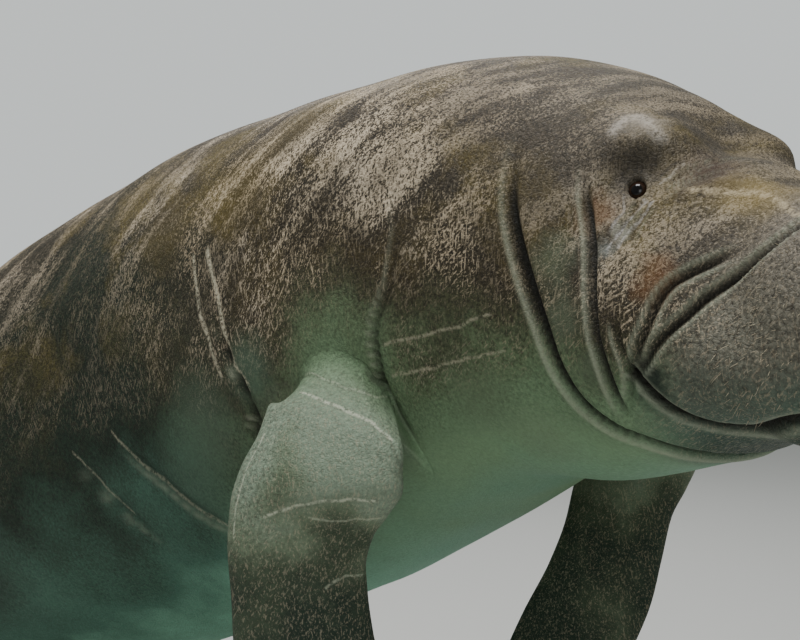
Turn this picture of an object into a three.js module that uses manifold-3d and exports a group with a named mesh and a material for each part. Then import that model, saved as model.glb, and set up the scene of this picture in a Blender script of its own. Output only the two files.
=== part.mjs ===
// West Indian manatee, a still life-size model on a plain display stand. Millimetres, +Z up, +X to the head.
import * as THREE from 'three';
import { mergeVertices } from 'three/addons/utils/BufferGeometryUtils.js';
import Module from 'manifold-3d';

const wasm = await Module();
wasm.setup();

// Whole animal
const LENGTH = 3000; // along the curved spine, muzzle to tail edge
const GAP = 0.3; // clearance between neighbouring pieces
const REACH = 470; // farther from the spine than any skin
const SECTION_POWER = 2.25; // 2 is an ellipse, more is fuller at the corners

// Sections of the straight animal: place behind the muzzle, half width, height above and below the spine
const SECTIONS = [
  [8, 0, 10, 57], [19, 32, 28, 80], [43, 53, 40, 99], [76, 70, 48, 120], [114, 86, 63, 140],
  [157, 101, 88, 160], [200, 115, 102, 180], [271, 142, 154, 210], [352, 178, 184, 236],
  [450, 219, 219, 254], [580, 271, 258, 281], [760, 322, 300, 319], [1010, 366, 348, 358],
  [1290, 374, 360, 350], [1580, 336, 324, 308], [1830, 280, 266, 244], [2050, 224, 206, 182],
  [2230, 188, 157, 133], [2370, 184, 112, 97], [2490, 236, 78, 71], [2620, 309, 54, 51],
  [2750, 345, 39, 37], [2860, 330, 28, 27], [2940, 258, 19, 18], [2985, 144, 12, 11], [3000, 0, 3, 3],
];

// The muzzle is drawn on a fan of rays from this point, the rest on rings behind it
const FAN = { s: 112, z: -33, levelled: 410 };

// Rounded masses of the head: centre (behind the muzzle, to the side, up), radii, nose-up tilt, blend
const MASSES = [
  { name: 'brow', at: [250, 60, 88], radii: [50, 42, 34], tilt: -18, blend: 40 },
  { name: 'cheek', at: [226, 68, -66], radii: [95, 60, 88], tilt: 0, blend: 50 },
  { name: 'bridge of the nose', at: [84, 0, -3], radii: [84, 58, 42], tilt: -12, blend: 34 },
  { name: 'nostril boss', at: [36, 28, 3], radii: [32, 27, 22], tilt: -14, blend: 26 },
  { name: 'muzzle front', at: [60, 0, -50], radii: [57, 82, 64], tilt: 0, blend: 30 },
  { name: 'lip pad', at: [62, 44, -52], radii: [61, 52, 72], tilt: 0, blend: 22 },
  { name: 'lip pad rear', at: [118, 56, -86], radii: [66, 48, 42], tilt: 10, blend: 26 },
  { name: 'chin', at: [94, 0, -122], radii: [50, 60, 32], tilt: 8, blend: 22 },
];

// Folds of skin: side folds run through (behind the muzzle, up), round folds through (behind, degrees up)
const FOLDS = [
  {
    name: 'mouth', round: false, depth: 12, width: 6, roll: 0.3, fade: [0, 0.04],
    line: [[188, -92], [179, -103], [170, -116], [158, -130], [142, -139], [118, -140], [97, -136],
      [67, -128], [40, -123], [15, -119], [-20, -115]],
  },
  {
    name: 'lip pad crease', round: false, depth: 9, width: 7, roll: 0.6, fade: [0.06, 0.15],
    line: [[182, -97], [172, -84], [164, -72], [152, -58], [140, -46], [128, -32], [112, -18], [95, -4],
      [77, 11], [64, 25], [56, 38]],
  },
  {
    name: 'cheek fold', round: false, depth: 6, width: 7, roll: 0.6, fade: [0.1, 0.25],
    line: [[186, -94], [180, -82], [176, -70], [168, -52], [162, -34], [154, -20], [142, -11], [130, -4],
      [118, 2], [104, 9]],
  },
  {
    name: 'first neck fold', round: true, depth: 14, width: 10, roll: 0.7, fade: [0.25, 0],
    line: [[345, 44], [337, 30], [326, 17], [312, 5], [296, -8], [280, -20], [268, -31], [252, -41],
      [236, -47], [220, -52], [204, -56], [192, -64], [186, -76], [184, -90]],
  },
  {
    name: 'second neck fold', round: true, depth: 9, width: 8, roll: 0.6, fade: [0.25, 0.15],
    line: [[266, 42], [258, 32], [248, 24], [235, 12], [225, -5], [219, -17], [212, -27], [207, -37],
      [205, -47]],
  },
  {
    name: 'shoulder fold', round: true, depth: 7, width: 10, roll: 0.6, fade: [0.6, 0.2],
    line: [[462, 24], [458, 11], [453, 2], [467, -11], [494, -21], [504, -29], [513, -38], [528, -47],
      [548, -55], [576, -63]],
  },
];
const DEGREE_LENGTH = 3; // mm of skin to one degree round the neck, for the round folds

// Eyes: place of the opening on the side of the head, eyeball and lids
const EYE = {
  s: 216, z: 64, radius: 11, opening: 7.5, depth: 15, pit: 11, lidAt: 12, lidRise: 3, lidWide: 3.5,
};
const EYE_HOLLOW = { s: 224, z: 81, halfLength: 29, above: 28, below: 22, depth: 13 };

// Nostrils: crescent slits on top of the muzzle
const NOSTRIL = { s: 27, y: 27, z: 25, radius: 13, width: 3.5, depth: 8 };

// Spine in the pose: pitch (head up) and turn to the right, in degrees, at places behind the muzzle
const POSE = {
  at: [120, 350, 620, 1250, 2050, 2800],
  pitch: [0.7, -7.7, 13, 24.4, 27, 12],
  turn: [24.8, 23.3, 16.3, -11.2, -9, -3],
  level: 570, // place behind the muzzle that is the zero of the posed spine
};
const ORIGIN = [841.1, 48.4, 926]; // zero of the posed spine, from the middle of the floor under the model

// Flippers from the root down: centre, chord, thickness, and turn of the chord to the left of +X
const FLIPPERS = {
  right: {
    side: -1, root: [508, 676, -62, -20],
    sections: [
      [-28, -278, -184, 177, 66, 10], [-25, -288, -212, 179, 74, 13],
      [-36, -299, -241, 173, 70, 18], [-51, -303, -275, 157, 60, 26],
      [-55, -305, -310, 148, 52, 30], [-54, -302, -350, 145, 46, 32], [-52, -299, -393, 149, 40, 32],
      [-46, -293, -450, 156, 33, 32], [-36, -286, -510, 150, 26, 32], [-26, -280, -560, 124, 20, 32],
      [-18, -276, -595, 82, 15, 32], [-13, -273, -612, 36, 9, 32],
    ],
  },
  left: {
    side: 1, root: [540, 714, -62, -20],
    sections: [
      [52, 284, -188, 150, 66, -28], [56, 286, -214, 170, 72, -24],
      [50, 280, -245, 174, 68, -14], [38, 264, -283, 162, 60, -2],
      [28, 247, -319, 150, 52, 6], [22, 231, -374, 146, 45, 12], [13, 210, -430, 152, 38, 14],
      [-4, 176, -492, 156, 32, 14], [-22, 140, -550, 146, 26, 14], [-36, 112, -592, 118, 20, 14],
      [-46, 92, -622, 78, 15, 14], [-50, 84, -636, 36, 9, 14],
    ],
  },
};
const NAILS = { places: [-0.5, -0.05, 0.4], section: 9.5, drop: 12, length: 24, width: 17, thickness: 8 };

// Where the body is parted, places behind the muzzle
const PARTINGS = { neck: 300, thorax: 455, abdomen: 1080, stock: 1980, paddle: 2400 };

// Display stand
const STAND = {
  base: [1300, 560, 25], at: [95, 0], rodRadius: 21,
  rods: { front: [540, 55], rear: [-270, -30] },
};

// Mesh: rings behind the muzzle fan, steps round the body
const AROUND = 56;
const FAN_STEPS = 10;
const RINGS = [
  ...steps(120, 176, 8), ...steps(183, 239, 7), ...steps(249, 349, 10), ...steps(370, 490, 20),
  ...steps(508, 716, 16), ...steps(760, 1960, 80), ...steps(2030, 2800, 70), 2870, 2930, 2970, 2992,
];
const BLEND_LOOPS = 6;
const LEAVE = 0.65; // how far a flipper's blend runs on along the body, as a share of its span
const ARRIVE = 0.95; // how far it runs on along the flipper
const AXIS_REACH = 2.5; // table rows either way that a flipper section's direction is taken over
const FIRST_STEP = 0.2; // table rows over which the root's direction is taken
const HALVINGS = 24; // of a search along a ray or an angle
const FOLDS_END = 900; // no fold lies farther behind the muzzle
const SLAB = 1200; // wider than the body

const SKIN = { color: 0x6f6a5e, roughness: 0.75, metalness: 0 };
const LOOKS = {
  eye: { color: 0x1b1714, roughness: 0.15, metalness: 0 },
  nail: { color: 0xb3a78f, roughness: 0.5, metalness: 0 },
  stand: { color: 0x3a3c3e, roughness: 0.6, metalness: 0.4 },
};

function steps(from, to, step) {
  const count = Math.round((to - from) / step);
  return Array.from({ length: count + 1 }, (_, k) => from + ((to - from) * k) / count);
}

const radians = THREE.MathUtils.degToRad;

// Smooth curve through a table's points that never overshoots them
function monotone(xs, ys) {
  const last = xs.length - 1;
  const h = xs.slice(1).map((x, k) => x - xs[k]);
  const d = h.map((dx, k) => (ys[k + 1] - ys[k]) / dx);
  const m = ys.map((_, k) => {
    if (k === 0) return d[0];
    if (k === last) return d[last - 1];
    if (d[k - 1] * d[k] <= 0) return 0;
    const [a, b] = [2 * h[k] + h[k - 1], h[k] + 2 * h[k - 1]];
    return (a + b) / (a / d[k - 1] + b / d[k]);
  });
  return (x) => {
    const c = Math.min(Math.max(x, xs[0]), xs[last]);
    let k = 0;
    while (k < last - 1 && c > xs[k + 1]) k += 1;
    const t = (c - xs[k]) / h[k];
    const u = 1 - t;
    return (1 + 2 * t) * u * u * ys[k] + t * u * u * h[k] * m[k]
      + t * t * (3 - 2 * t) * ys[k + 1] - t * t * u * h[k] * m[k + 1];
  };
}

const column = (table, k) => table.map((row) => row[k]);
const [halfWidth, above, below] = [1, 2, 3].map((k) => monotone(column(SECTIONS, 0), column(SECTIONS, k)));
const smooth = (t) => t * t * (3 - 2 * t);
const clamp01 = (t) => Math.min(Math.max(t, 0), 1);
const ringHeight = (s) => FAN.z * (1 - smooth(clamp01((s - FAN.s) / (FAN.levelled - FAN.s))));

// Distance of a point of the straight animal from the trunk's skin, measured in its ring
function trunkDistance([s, y, z]) {
  const lift = ringHeight(s);
  const radius = Math.hypot(y, z - lift) + 1e-6;
  const [across, up] = [y / radius, (z - lift) / radius];
  const height = up > 0 ? above(s) - lift : below(s) + lift;
  const sum = (Math.abs(across) / Math.max(halfWidth(s), 1)) ** SECTION_POWER
    + (Math.abs(up) / Math.max(height, 1)) ** SECTION_POWER;
  return Math.max(radius - sum ** (-1 / SECTION_POWER), SECTIONS[0][0] - s);
}

// Distance from one rounded mass and its mirror image
function massDistance([s, y, z], { at, radii, tilt }) {
  const [c, n] = [Math.cos(radians(tilt)), Math.sin(radians(tilt))];
  const [ds, dy, dz] = [s - at[0], Math.abs(y) - at[1], z - at[2]];
  const q = [ds * c + dz * n, dy, dz * c - ds * n];
  const near = Math.hypot(...q.map((v, k) => v / radii[k])) + 1e-9;
  const slope = Math.hypot(...q.map((v, k) => v / radii[k] ** 2)) + 1e-9;
  return (near * (near - 1)) / slope;
}

function blendedMin(a, b, width) {
  const h = Math.max(width - Math.abs(a - b), 0) / width;
  return Math.min(a, b) - (h * h * width) / 4;
}

const fleshDistance = (p) => MASSES.reduce(
  (d, mass) => blendedMin(d, massDistance(p, mass), mass.blend), trunkDistance(p));

// Point of the smooth flesh on the ray of a place and an angle; places up to 1 fan out over the muzzle
function fleshPoint(place, angle) {
  const open = Math.min(place, 1) * (Math.PI / 2);
  const s = place <= 1 ? FAN.s : place;
  const from = [s, 0, ringHeight(s)];
  const ray = [-Math.cos(open), Math.sin(open) * Math.cos(angle), Math.sin(open) * Math.sin(angle)];
  const along = (r) => from.map((v, k) => v + r * ray[k]);
  let [inside, outside] = [0, REACH];
  for (let k = 0; k < HALVINGS; k += 1) {
    const middle = (inside + outside) / 2;
    if (fleshDistance(along(middle)) < 0) inside = middle;
    else outside = middle;
  }
  return along(inside);
}

function fleshNormal(p) {
  const h = 1.5;
  const n = [0, 1, 2].map((k) => {
    const shifted = (by) => p.map((v, j) => (j === k ? v + by : v));
    return fleshDistance(shifted(h)) - fleshDistance(shifted(-h));
  });
  const size = Math.hypot(...n) + 1e-9;
  return n.map((v) => v / size);
}

// Nearest distance to a fold's smooth line and the share of the way along it
const foldLines = FOLDS.map(({ round, line }) => new THREE.CatmullRomCurve3(
  line.map(([a, b]) => new THREE.Vector3(a, round ? b * DEGREE_LENGTH : b, 0)), false, 'centripetal')
  .getPoints(line.length * 6));

function nearestOnLine(a, b, points) {
  let [best, share] = [Infinity, 0];
  for (let k = 0; k < points.length - 1; k += 1) {
    const [p, q] = [points[k], points[k + 1]];
    const [u, v] = [q.x - p.x, q.y - p.y];
    const t = clamp01(((a - p.x) * u + (b - p.y) * v) / (u * u + v * v));
    const d = Math.hypot(a - p.x - t * u, b - p.y - t * v);
    if (d < best) [best, share] = [d, (k + t) / (points.length - 1)];
  }
  return [best, share];
}

function foldDepth([s, y, z]) {
  const angle = THREE.MathUtils.radToDeg(Math.atan2(z - ringHeight(s), Math.abs(y)));
  return FOLDS.reduce((sum, { round, depth, width, roll, fade }, k) => {
    const [d, share] = nearestOnLine(s, round ? angle * DEGREE_LENGTH : z, foldLines[k]);
    if (s > FOLDS_END || d > 4 * width) return sum;
    const ends = Math.min(fade[0] ? share / fade[0] : 1, fade[1] ? (1 - share) / fade[1] : 1, 1);
    const q = d / width;
    return sum - depth * ends * (1 - roll * q * q) * Math.exp(-q * q);
  }, 0);
}

const eyePoint = (() => {
  let [low, high] = [0, Math.PI / 2];
  for (let k = 0; k < HALVINGS; k += 1) {
    const middle = (low + high) / 2;
    if (fleshPoint(EYE.s, middle)[2] < EYE.z) low = middle;
    else high = middle;
  }
  return { angle: low, point: fleshPoint(EYE.s, low) };
})();

function eyeRelief([s, y, z]) {
  const [x0, y0, z0] = eyePoint.point;
  const half = z > EYE_HOLLOW.z ? EYE_HOLLOW.above : EYE_HOLLOW.below;
  const hollow = Math.hypot((s - EYE_HOLLOW.s) / EYE_HOLLOW.halfLength, (z - EYE_HOLLOW.z) / half);
  const from = Math.hypot((s - x0) / 1.15, Math.abs(y) - y0, z - z0);
  return -EYE_HOLLOW.depth * Math.exp(-1.1 * hollow * hollow)
    + EYE.lidRise * Math.exp(-(((from - EYE.lidAt) / EYE.lidWide) ** 2))
    - EYE.pit * smooth(clamp01((EYE.opening + 2 - from) / 4));
}

function nostrilRelief([s, y, z]) {
  const [ds, dy, dz] = [s - NOSTRIL.s, Math.abs(y) - NOSTRIL.y, z - NOSTRIL.z];
  const ring = Math.hypot(ds, dy, dz) - NOSTRIL.radius;
  const open = smooth(clamp01((dy + ds) / NOSTRIL.radius + 0.6));
  return -NOSTRIL.depth * open * Math.exp(-((ring / NOSTRIL.width) ** 2));
}

// Places and angles drawn in so that a flipper's square patch of the grid has a round edge
function roundPatch(place, angle) {
  let [s, a] = [place, angle];
  for (const { side, root: [front, rear, low, high] } of Object.values(FLIPPERS)) {
    const [halfLength, halfTurn] = [(rear - front) / 2, radians(high - low) / 2];
    const middle = radians((low + high) / 2);
    const u = (place - (front + rear) / 2) / halfLength;
    const v = (angle - (side > 0 ? middle + 2 * Math.PI : Math.PI - middle)) / halfTurn;
    const far = Math.max(Math.abs(u), Math.abs(v), 1);
    const keep = place > 1 ? 1 - smooth(clamp01((far - 1) / 1.3)) : 0;
    s += keep * (u / far) * (Math.sqrt(1 - (v / far) ** 2 / 2) - 1) * halfLength;
    a += keep * (v / far) * (Math.sqrt(1 - (u / far) ** 2 / 2) - 1) * halfTurn;
  }
  return [s, a];
}

// Point of the finished skin of the straight animal, raised by a clearance
function skinPoint(place, angle, clearance = 0) {
  const p = fleshPoint(...roundPatch(place, angle));
  const n = fleshNormal(p);
  const rise = foldDepth(p) + eyeRelief(p) + nostrilRelief(p) + clearance;
  return p.map((v, k) => v + rise * n[k]);
}

// Posed spine: a frame of centre, forward, left and up at any place behind the muzzle
const pitchAt = monotone(POSE.at, POSE.pitch.map(radians));
const turnAt = monotone(POSE.at, POSE.turn.map(radians));
const SPINE_STEP = 5;
const SPINE_START = -200;
const forwardAt = (s) => new THREE.Vector3(
  Math.cos(pitchAt(s)) * Math.cos(turnAt(s)),
  -Math.cos(pitchAt(s)) * Math.sin(turnAt(s)),
  Math.sin(pitchAt(s)));
const spine = [new THREE.Vector3()];
for (let s = SPINE_START; s < LENGTH + 200; s += SPINE_STEP) {
  spine.push(spine.at(-1).clone().addScaledVector(forwardAt(s + SPINE_STEP / 2), -SPINE_STEP));
}
function spineCentre(s) {
  const k = (s - SPINE_START) / SPINE_STEP;
  const whole = Math.floor(k);
  return spine[whole].clone().lerp(spine[whole + 1], k - whole);
}
const spineZero = spineCentre(POSE.level).sub(new THREE.Vector3(...ORIGIN));

function frameAt(s) {
  const forward = forwardAt(s);
  const left = new THREE.Vector3(Math.sin(turnAt(s)), Math.cos(turnAt(s)), 0);
  return { centre: spineCentre(s).sub(spineZero), forward, left, up: forward.clone().cross(left) };
}

function posed([s, y, z]) {
  const { centre, left, up } = frameAt(s);
  return centre.addScaledVector(left, y).addScaledVector(up, z);
}

// Skin of the whole animal: rings from muzzle to tail, with a flipper grown from a patch on each side
const places = [...Array.from({ length: FAN_STEPS }, (_, k) => (k + 1) / FAN_STEPS), ...RINGS];
const angleAt = (j) => (j * 2 * Math.PI) / AROUND;
const points = [];
const addPoint = (p) => points.push(p) - 1;
const addQuad = (a, b, c, d) => triangles.push(a, b, c, a, c, d);

const nose = addPoint(posed(skinPoint(0, 0)));
const grid = places.map((place) => Array.from(
  { length: AROUND }, (_, j) => addPoint(posed(skinPoint(place, angleAt(j))))));
const tail = addPoint(posed([LENGTH, 0, 0]));

const nearestIndex = (list, value) => list.reduce(
  (best, v, k) => (Math.abs(v - value) < Math.abs(list[best] - value) ? k : best), 0);

function flipperPatch({ side, root: [front, rear, low, high] }) {
  const turn = (degrees) => (side > 0 ? degrees : 180 - degrees);
  const columnOf = (degrees) => Math.round((((turn(degrees) % 360) + 360) % 360) / (360 / AROUND));
  const [j0, j1] = [columnOf(low), columnOf(high)].sort((a, b) => a - b);
  return { i0: nearestIndex(places, front), i1: nearestIndex(places, rear), j0, j1 };
}
const patches = Object.fromEntries(Object.entries(FLIPPERS).map(([name, f]) => [name, flipperPatch(f)]));
const inPatch = (i, j) => Object.values(patches).some(
  (p) => i >= p.i0 && i < p.i1 && j >= p.j0 && j < p.j1);

// Triangles of the grid from muzzle to tail, without the cells that are left open
function gridTriangles(open) {
  const faces = [];
  for (let j = 0; j < AROUND; j += 1) {
    const next = (j + 1) % AROUND;
    faces.push(nose, grid[0][j], grid[0][next], tail, grid.at(-1)[next], grid.at(-1)[j]);
    for (let i = 0; i < places.length - 1; i += 1) {
      const [a, b, c, d] = [grid[i][next], grid[i][j], grid[i + 1][j], grid[i + 1][next]];
      if (!open(i, j)) faces.push(a, b, c, a, c, d);
    }
  }
  return faces;
}
const triangles = gridTriangles(inPatch);

// Section of a flipper at a place along its table: centre, chord direction, outward direction
function flipperSection({ side, sections }) {
  const curves = [0, 1, 2, 3, 4, 5].map((k) => monotone(sections.map((_, n) => n), column(sections, k)));
  const centreAt = (t) => new THREE.Vector3(curves[0](t), curves[1](t), curves[2](t))
    .add(new THREE.Vector3(...ORIGIN));
  return (t) => {
    const centre = centreAt(t);
    const ahead = centreAt(Math.min(t + AXIS_REACH, sections.length - 1));
    const axis = ahead.sub(centreAt(Math.max(t - AXIS_REACH, 0))).normalize();
    const turn = radians(curves[5](t));
    const chord = new THREE.Vector3(Math.cos(turn), Math.sin(turn), 0);
    chord.addScaledVector(axis, -chord.dot(axis)).normalize();
    const out = axis.clone().cross(chord).multiplyScalar(-side);
    return { centre, axis, chord, out, length: curves[3](t) / 2, thick: curves[4](t) / 2 };
  };
}

function growFlipper(name) {
  const { i0, i1, j0, j1 } = patches[name];
  const flipper = FLIPPERS[name];
  const loop = [];
  for (let j = j0; j < j1; j += 1) loop.push([i0, j]);
  for (let i = i0; i < i1; i += 1) loop.push([i, j1]);
  for (let j = j1; j > j0; j -= 1) loop.push([i1, j]);
  for (let i = i1; i > i0; i -= 1) loop.push([i, j0]);
  const middle = [(i0 + i1) / 2, (j0 + j1) / 2];
  const section = flipperSection(flipper);
  const eccentric = loop.map(([i, j]) => {
    const ahead = (middle[0] - i) / (middle[0] - i0);
    const up = ((j - middle[1]) / (j1 - middle[1])) * flipper.side;
    return Math.atan2(up, ahead);
  });
  const onSection = ({ centre, chord, out, length, thick }, angle) => centre.clone()
    .addScaledVector(chord, length * Math.cos(angle)).addScaledVector(out, thick * Math.sin(angle));
  const start = loop.map(([i, j]) => points[grid[i][j]]);
  const facing = loop.map(([i, j]) => points[grid[i + 1][j]].clone().sub(points[grid[i - 1][j]])
    .cross(points[grid[i][j - 1]].clone().sub(points[grid[i][j + 1]])).normalize());
  const heart = start.reduce((sum, p) => sum.add(p), new THREE.Vector3()).divideScalar(start.length);
  const [first, second] = [section(0), section(FIRST_STEP)];
  const rings = [loop.map(([i, j]) => grid[i][j])];
  for (let k = 1; k <= BLEND_LOOPS; k += 1) {
    const t = k / BLEND_LOOPS;
    rings.push(loop.map((_, n) => {
      const target = onSection(first, eccentric[n]);
      const span = target.distanceTo(start[n]);
      const leave = heart.clone().sub(start[n]);
      leave.addScaledVector(facing[n], -leave.dot(facing[n])).setLength(LEAVE * span);
      const arrive = onSection(second, eccentric[n]).sub(target).setLength(ARRIVE * span);
      return addPoint(start[n].clone().multiplyScalar((1 + 2 * t) * (1 - t) ** 2)
        .addScaledVector(leave, t * (1 - t) ** 2)
        .addScaledVector(target, t * t * (3 - 2 * t))
        .addScaledVector(arrive, -t * t * (1 - t)));
    }));
  }
  const last = flipper.sections.length - 1;
  for (const t of steps(1, last, 1)) {
    rings.push(loop.map((_, n) => addPoint(onSection(section(t), eccentric[n]))));
  }
  const end = section(last);
  const tip = addPoint(end.centre.clone().addScaledVector(end.axis, 6));
  for (let r = 0; r < rings.length - 1; r += 1) {
    for (let n = 0; n < loop.length; n += 1) {
      const m = (n + 1) % loop.length;
      addQuad(rings[r][m], rings[r][n], rings[r + 1][n], rings[r + 1][m]);
    }
  }
  loop.forEach((_, n) => triangles.push(rings.at(-1)[(n + 1) % loop.length], rings.at(-1)[n], tip));
}
Object.keys(FLIPPERS).forEach(growFlipper);

// Solids
function solidOf(geometry) {
  const bare = geometry.index && !geometry.attributes.uv ? geometry : mergeVertices(stripped(geometry));
  return new wasm.Manifold(new wasm.Mesh({
    numProp: 3,
    vertProperties: new Float32Array(bare.attributes.position.array),
    triVerts: new Uint32Array(bare.index.array),
  }));
}
function stripped(geometry) {
  const copy = geometry.clone();
  copy.deleteAttribute('normal');
  copy.deleteAttribute('uv');
  return copy;
}
const largest = (solid) => solid.decompose().sort((a, b) => b.volume() - a.volume())[0];
function geometryOf(solid) {
  const { vertProperties, triVerts } = solid.getMesh();
  const geometry = new THREE.BufferGeometry();
  geometry.setAttribute('position', new THREE.BufferAttribute(new Float32Array(vertProperties), 3));
  geometry.setIndex(new THREE.BufferAttribute(new Uint32Array(triVerts), 1));
  geometry.computeVertexNormals();
  return geometry;
}

function closedSolid(vertices, faces) {
  const geometry = new THREE.BufferGeometry();
  const positions = vertices.flatMap((p) => p.toArray());
  geometry.setAttribute('position', new THREE.Float32BufferAttribute(positions, 3));
  geometry.setIndex(faces);
  return solidOf(geometry);
}
const animal = closedSolid(points, triangles);
const wholeGrid = gridTriangles(() => false);
const trunk = closedSolid(points.slice(0, tail + 1), wholeGrid);
const clearTrunk = closedSolid([
  posed(skinPoint(0, 0, GAP)),
  ...places.flatMap((place) => Array.from(
    { length: AROUND }, (_, j) => posed(skinPoint(place, angleAt(j), GAP)))),
  posed([LENGTH + GAP, 0, 0]),
], wholeGrid);

// Thin slab across the body at a place behind the muzzle
function slabAt(s, size) {
  const { centre, forward, left, up } = frameAt(s);
  const slab = new THREE.BoxGeometry(GAP, size, size);
  slab.applyMatrix4(new THREE.Matrix4().makeBasis(forward, left, up).setPosition(centre));
  return solidOf(slab);
}

const group = new THREE.Group();
function addMesh(name, geometry, material) {
  const mesh = new THREE.Mesh(geometry, new THREE.MeshStandardMaterial(material));
  mesh.name = name;
  group.add(mesh);
}

// Cut a solid with a slab and give back its two sides, the one nearer the head first
function parted(solid, slab) {
  const middle = (piece) => (piece.boundingBox().min[0] + piece.boundingBox().max[0]) / 2;
  return solid.subtract(slab).decompose().sort((a, b) => b.volume() - a.volume()).slice(0, 2)
    .sort((a, b) => middle(b) - middle(a));
}

const grown = animal.subtract(clearTrunk).decompose().sort((a, b) => b.volume() - a.volume()).slice(0, 2);
const [flipperRight, flipperLeft] = grown.sort((a, b) => a.boundingBox().min[1] - b.boundingBox().min[1]);
const parts = { flipper_right: flipperRight, flipper_left: flipperLeft };
const body = largest(animal.intersect(trunk));
let rest = body;
[parts.head, rest] = parted(rest, slabAt(PARTINGS.neck, SLAB));
[parts.neck, rest] = parted(rest, slabAt(PARTINGS.thorax, SLAB));
[parts.thorax, rest] = parted(rest, slabAt(PARTINGS.abdomen, SLAB));
[parts.abdomen, rest] = parted(rest, slabAt(PARTINGS.stock, SLAB));
[parts.tail_stock, parts.tail_paddle] = parted(rest, slabAt(PARTINGS.paddle, SLAB));

// Eyes sit in sockets cut into the head
for (const [name, side] of [['right', -1], ['left', 1]]) {
  const [s, y, z] = eyePoint.point;
  const n = fleshNormal(eyePoint.point);
  const centre = posed([s - n[0] * EYE.depth, side * (y - n[1] * EYE.depth), z - n[2] * EYE.depth]);
  const ball = (radius) => new THREE.SphereGeometry(radius, 14, 9).translate(...centre.toArray());
  parts.head = largest(parts.head.subtract(solidOf(ball(EYE.radius + GAP))));
  parts[`eye_${name}`] = solidOf(ball(EYE.radius));
}

// Nails lie along the outer side of each flipper's rim, near its tip
for (const [name, flipper] of Object.entries(FLIPPERS)) {
  const { centre, axis, chord, out, length, thick } = flipperSection(flipper)(NAILS.section);
  NAILS.places.forEach((place, k) => {
    const height = thick * Math.sqrt(1 - place * place);
    const nail = new THREE.SphereGeometry(1, 10, 6)
      .scale(NAILS.width / 2, NAILS.thickness / 2, NAILS.length / 2);
    nail.applyMatrix4(new THREE.Matrix4().makeBasis(chord, out, chord.clone().cross(out)));
    const lift = axis.clone().multiplyScalar(NAILS.drop * (1 - Math.abs(place)));
    nail.translate(...centre.clone().addScaledVector(chord, length * place).addScaledVector(out, height)
      .add(lift).toArray());
    const bed = parts[`flipper_${name}`].translate(out.clone().multiplyScalar(GAP).toArray());
    parts[`nail_${name}_${k + 1}`] = largest(solidOf(nail).subtract(bed));
  });
}

// Stand: a flat base and two rods that end just under the skin of the belly
const base = new THREE.BoxGeometry(...STAND.base).translate(STAND.at[0], STAND.at[1], STAND.base[2] / 2);
const belly = body.translate([0, 0, -GAP]);
const stand = { stand_base: base };
for (const [name, [x, y]] of Object.entries(STAND.rods)) {
  const foot = STAND.base[2] + GAP;
  const height = frameAt(POSE.level).centre.z;
  const rod = new THREE.CylinderGeometry(STAND.rodRadius, STAND.rodRadius, height, 32).rotateX(Math.PI / 2);
  const cut = solidOf(rod.translate(x, y, foot + height / 2)).subtract(belly).decompose();
  const lowest = cut.sort((a, b) => a.boundingBox().min[2] - b.boundingBox().min[2])[0];
  stand[`stand_rod_${name}`] = geometryOf(lowest);
}

Object.entries(parts).forEach(([name, solid]) => {
  addMesh(name, geometryOf(solid), LOOKS[name.split('_')[0]] ?? SKIN);
});
Object.entries(stand).forEach(([name, geometry]) => addMesh(name, geometry, LOOKS.stand));
export default group;
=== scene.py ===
import bpy
import numpy as np
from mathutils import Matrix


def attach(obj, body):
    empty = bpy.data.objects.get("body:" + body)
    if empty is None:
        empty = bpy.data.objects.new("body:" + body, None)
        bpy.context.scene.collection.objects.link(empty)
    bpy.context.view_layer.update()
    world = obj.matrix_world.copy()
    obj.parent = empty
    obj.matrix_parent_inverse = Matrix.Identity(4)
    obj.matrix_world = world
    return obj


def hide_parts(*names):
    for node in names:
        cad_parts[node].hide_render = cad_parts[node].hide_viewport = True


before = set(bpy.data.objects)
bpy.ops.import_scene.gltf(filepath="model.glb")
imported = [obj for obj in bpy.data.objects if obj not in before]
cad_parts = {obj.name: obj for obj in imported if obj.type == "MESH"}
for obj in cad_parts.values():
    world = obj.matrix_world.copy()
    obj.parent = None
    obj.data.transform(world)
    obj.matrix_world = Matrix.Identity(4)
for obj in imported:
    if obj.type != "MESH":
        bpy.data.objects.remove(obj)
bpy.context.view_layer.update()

bl_info = {
    "name": "Manatee museum model",
    "version": (1, 0, 0),
    "blender": (4, 5, 0),
    "location": "View3D > Sidebar > Manatee",
    "description": "Builds the skin, eyes, nails, bristles and stand of a still manatee",
    "category": "Object",
}

# Shapes are worked out in millimetres of the straight animal and put in the mesh in metres
MM = 0.001
# Length along the spine, a distance beyond any skin, and the power of the sections, where 2 is an ellipse
LENGTH, REACH, SECTION_POWER = 3000, 470, 2.25

# Sections of the straight animal: place behind the muzzle, half width, height above and below the spine
SECTIONS = np.array([
    [8, 0, 10, 57], [19, 32, 28, 80], [43, 53, 40, 99], [76, 70, 48, 120], [114, 86, 63, 140],
    [157, 101, 88, 160], [200, 115, 102, 180], [271, 142, 154, 210], [352, 178, 184, 236],
    [450, 219, 219, 254], [580, 271, 258, 281], [760, 322, 300, 319], [1010, 366, 348, 358],
    [1290, 374, 360, 350], [1580, 336, 324, 308], [1830, 280, 266, 244], [2050, 224, 206, 182],
    [2230, 188, 157, 133], [2370, 184, 112, 97], [2490, 236, 78, 71], [2620, 309, 54, 51],
    [2750, 345, 39, 37], [2860, 330, 28, 27], [2940, 258, 19, 18], [2985, 144, 12, 11], [3000, 0, 3, 3],
], float)

# The muzzle is drawn on a fan of rays from this point, the rest on rings behind it
FAN_AT, FAN_HEIGHT, FAN_LEVELLED = 112, -33, 410

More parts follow.
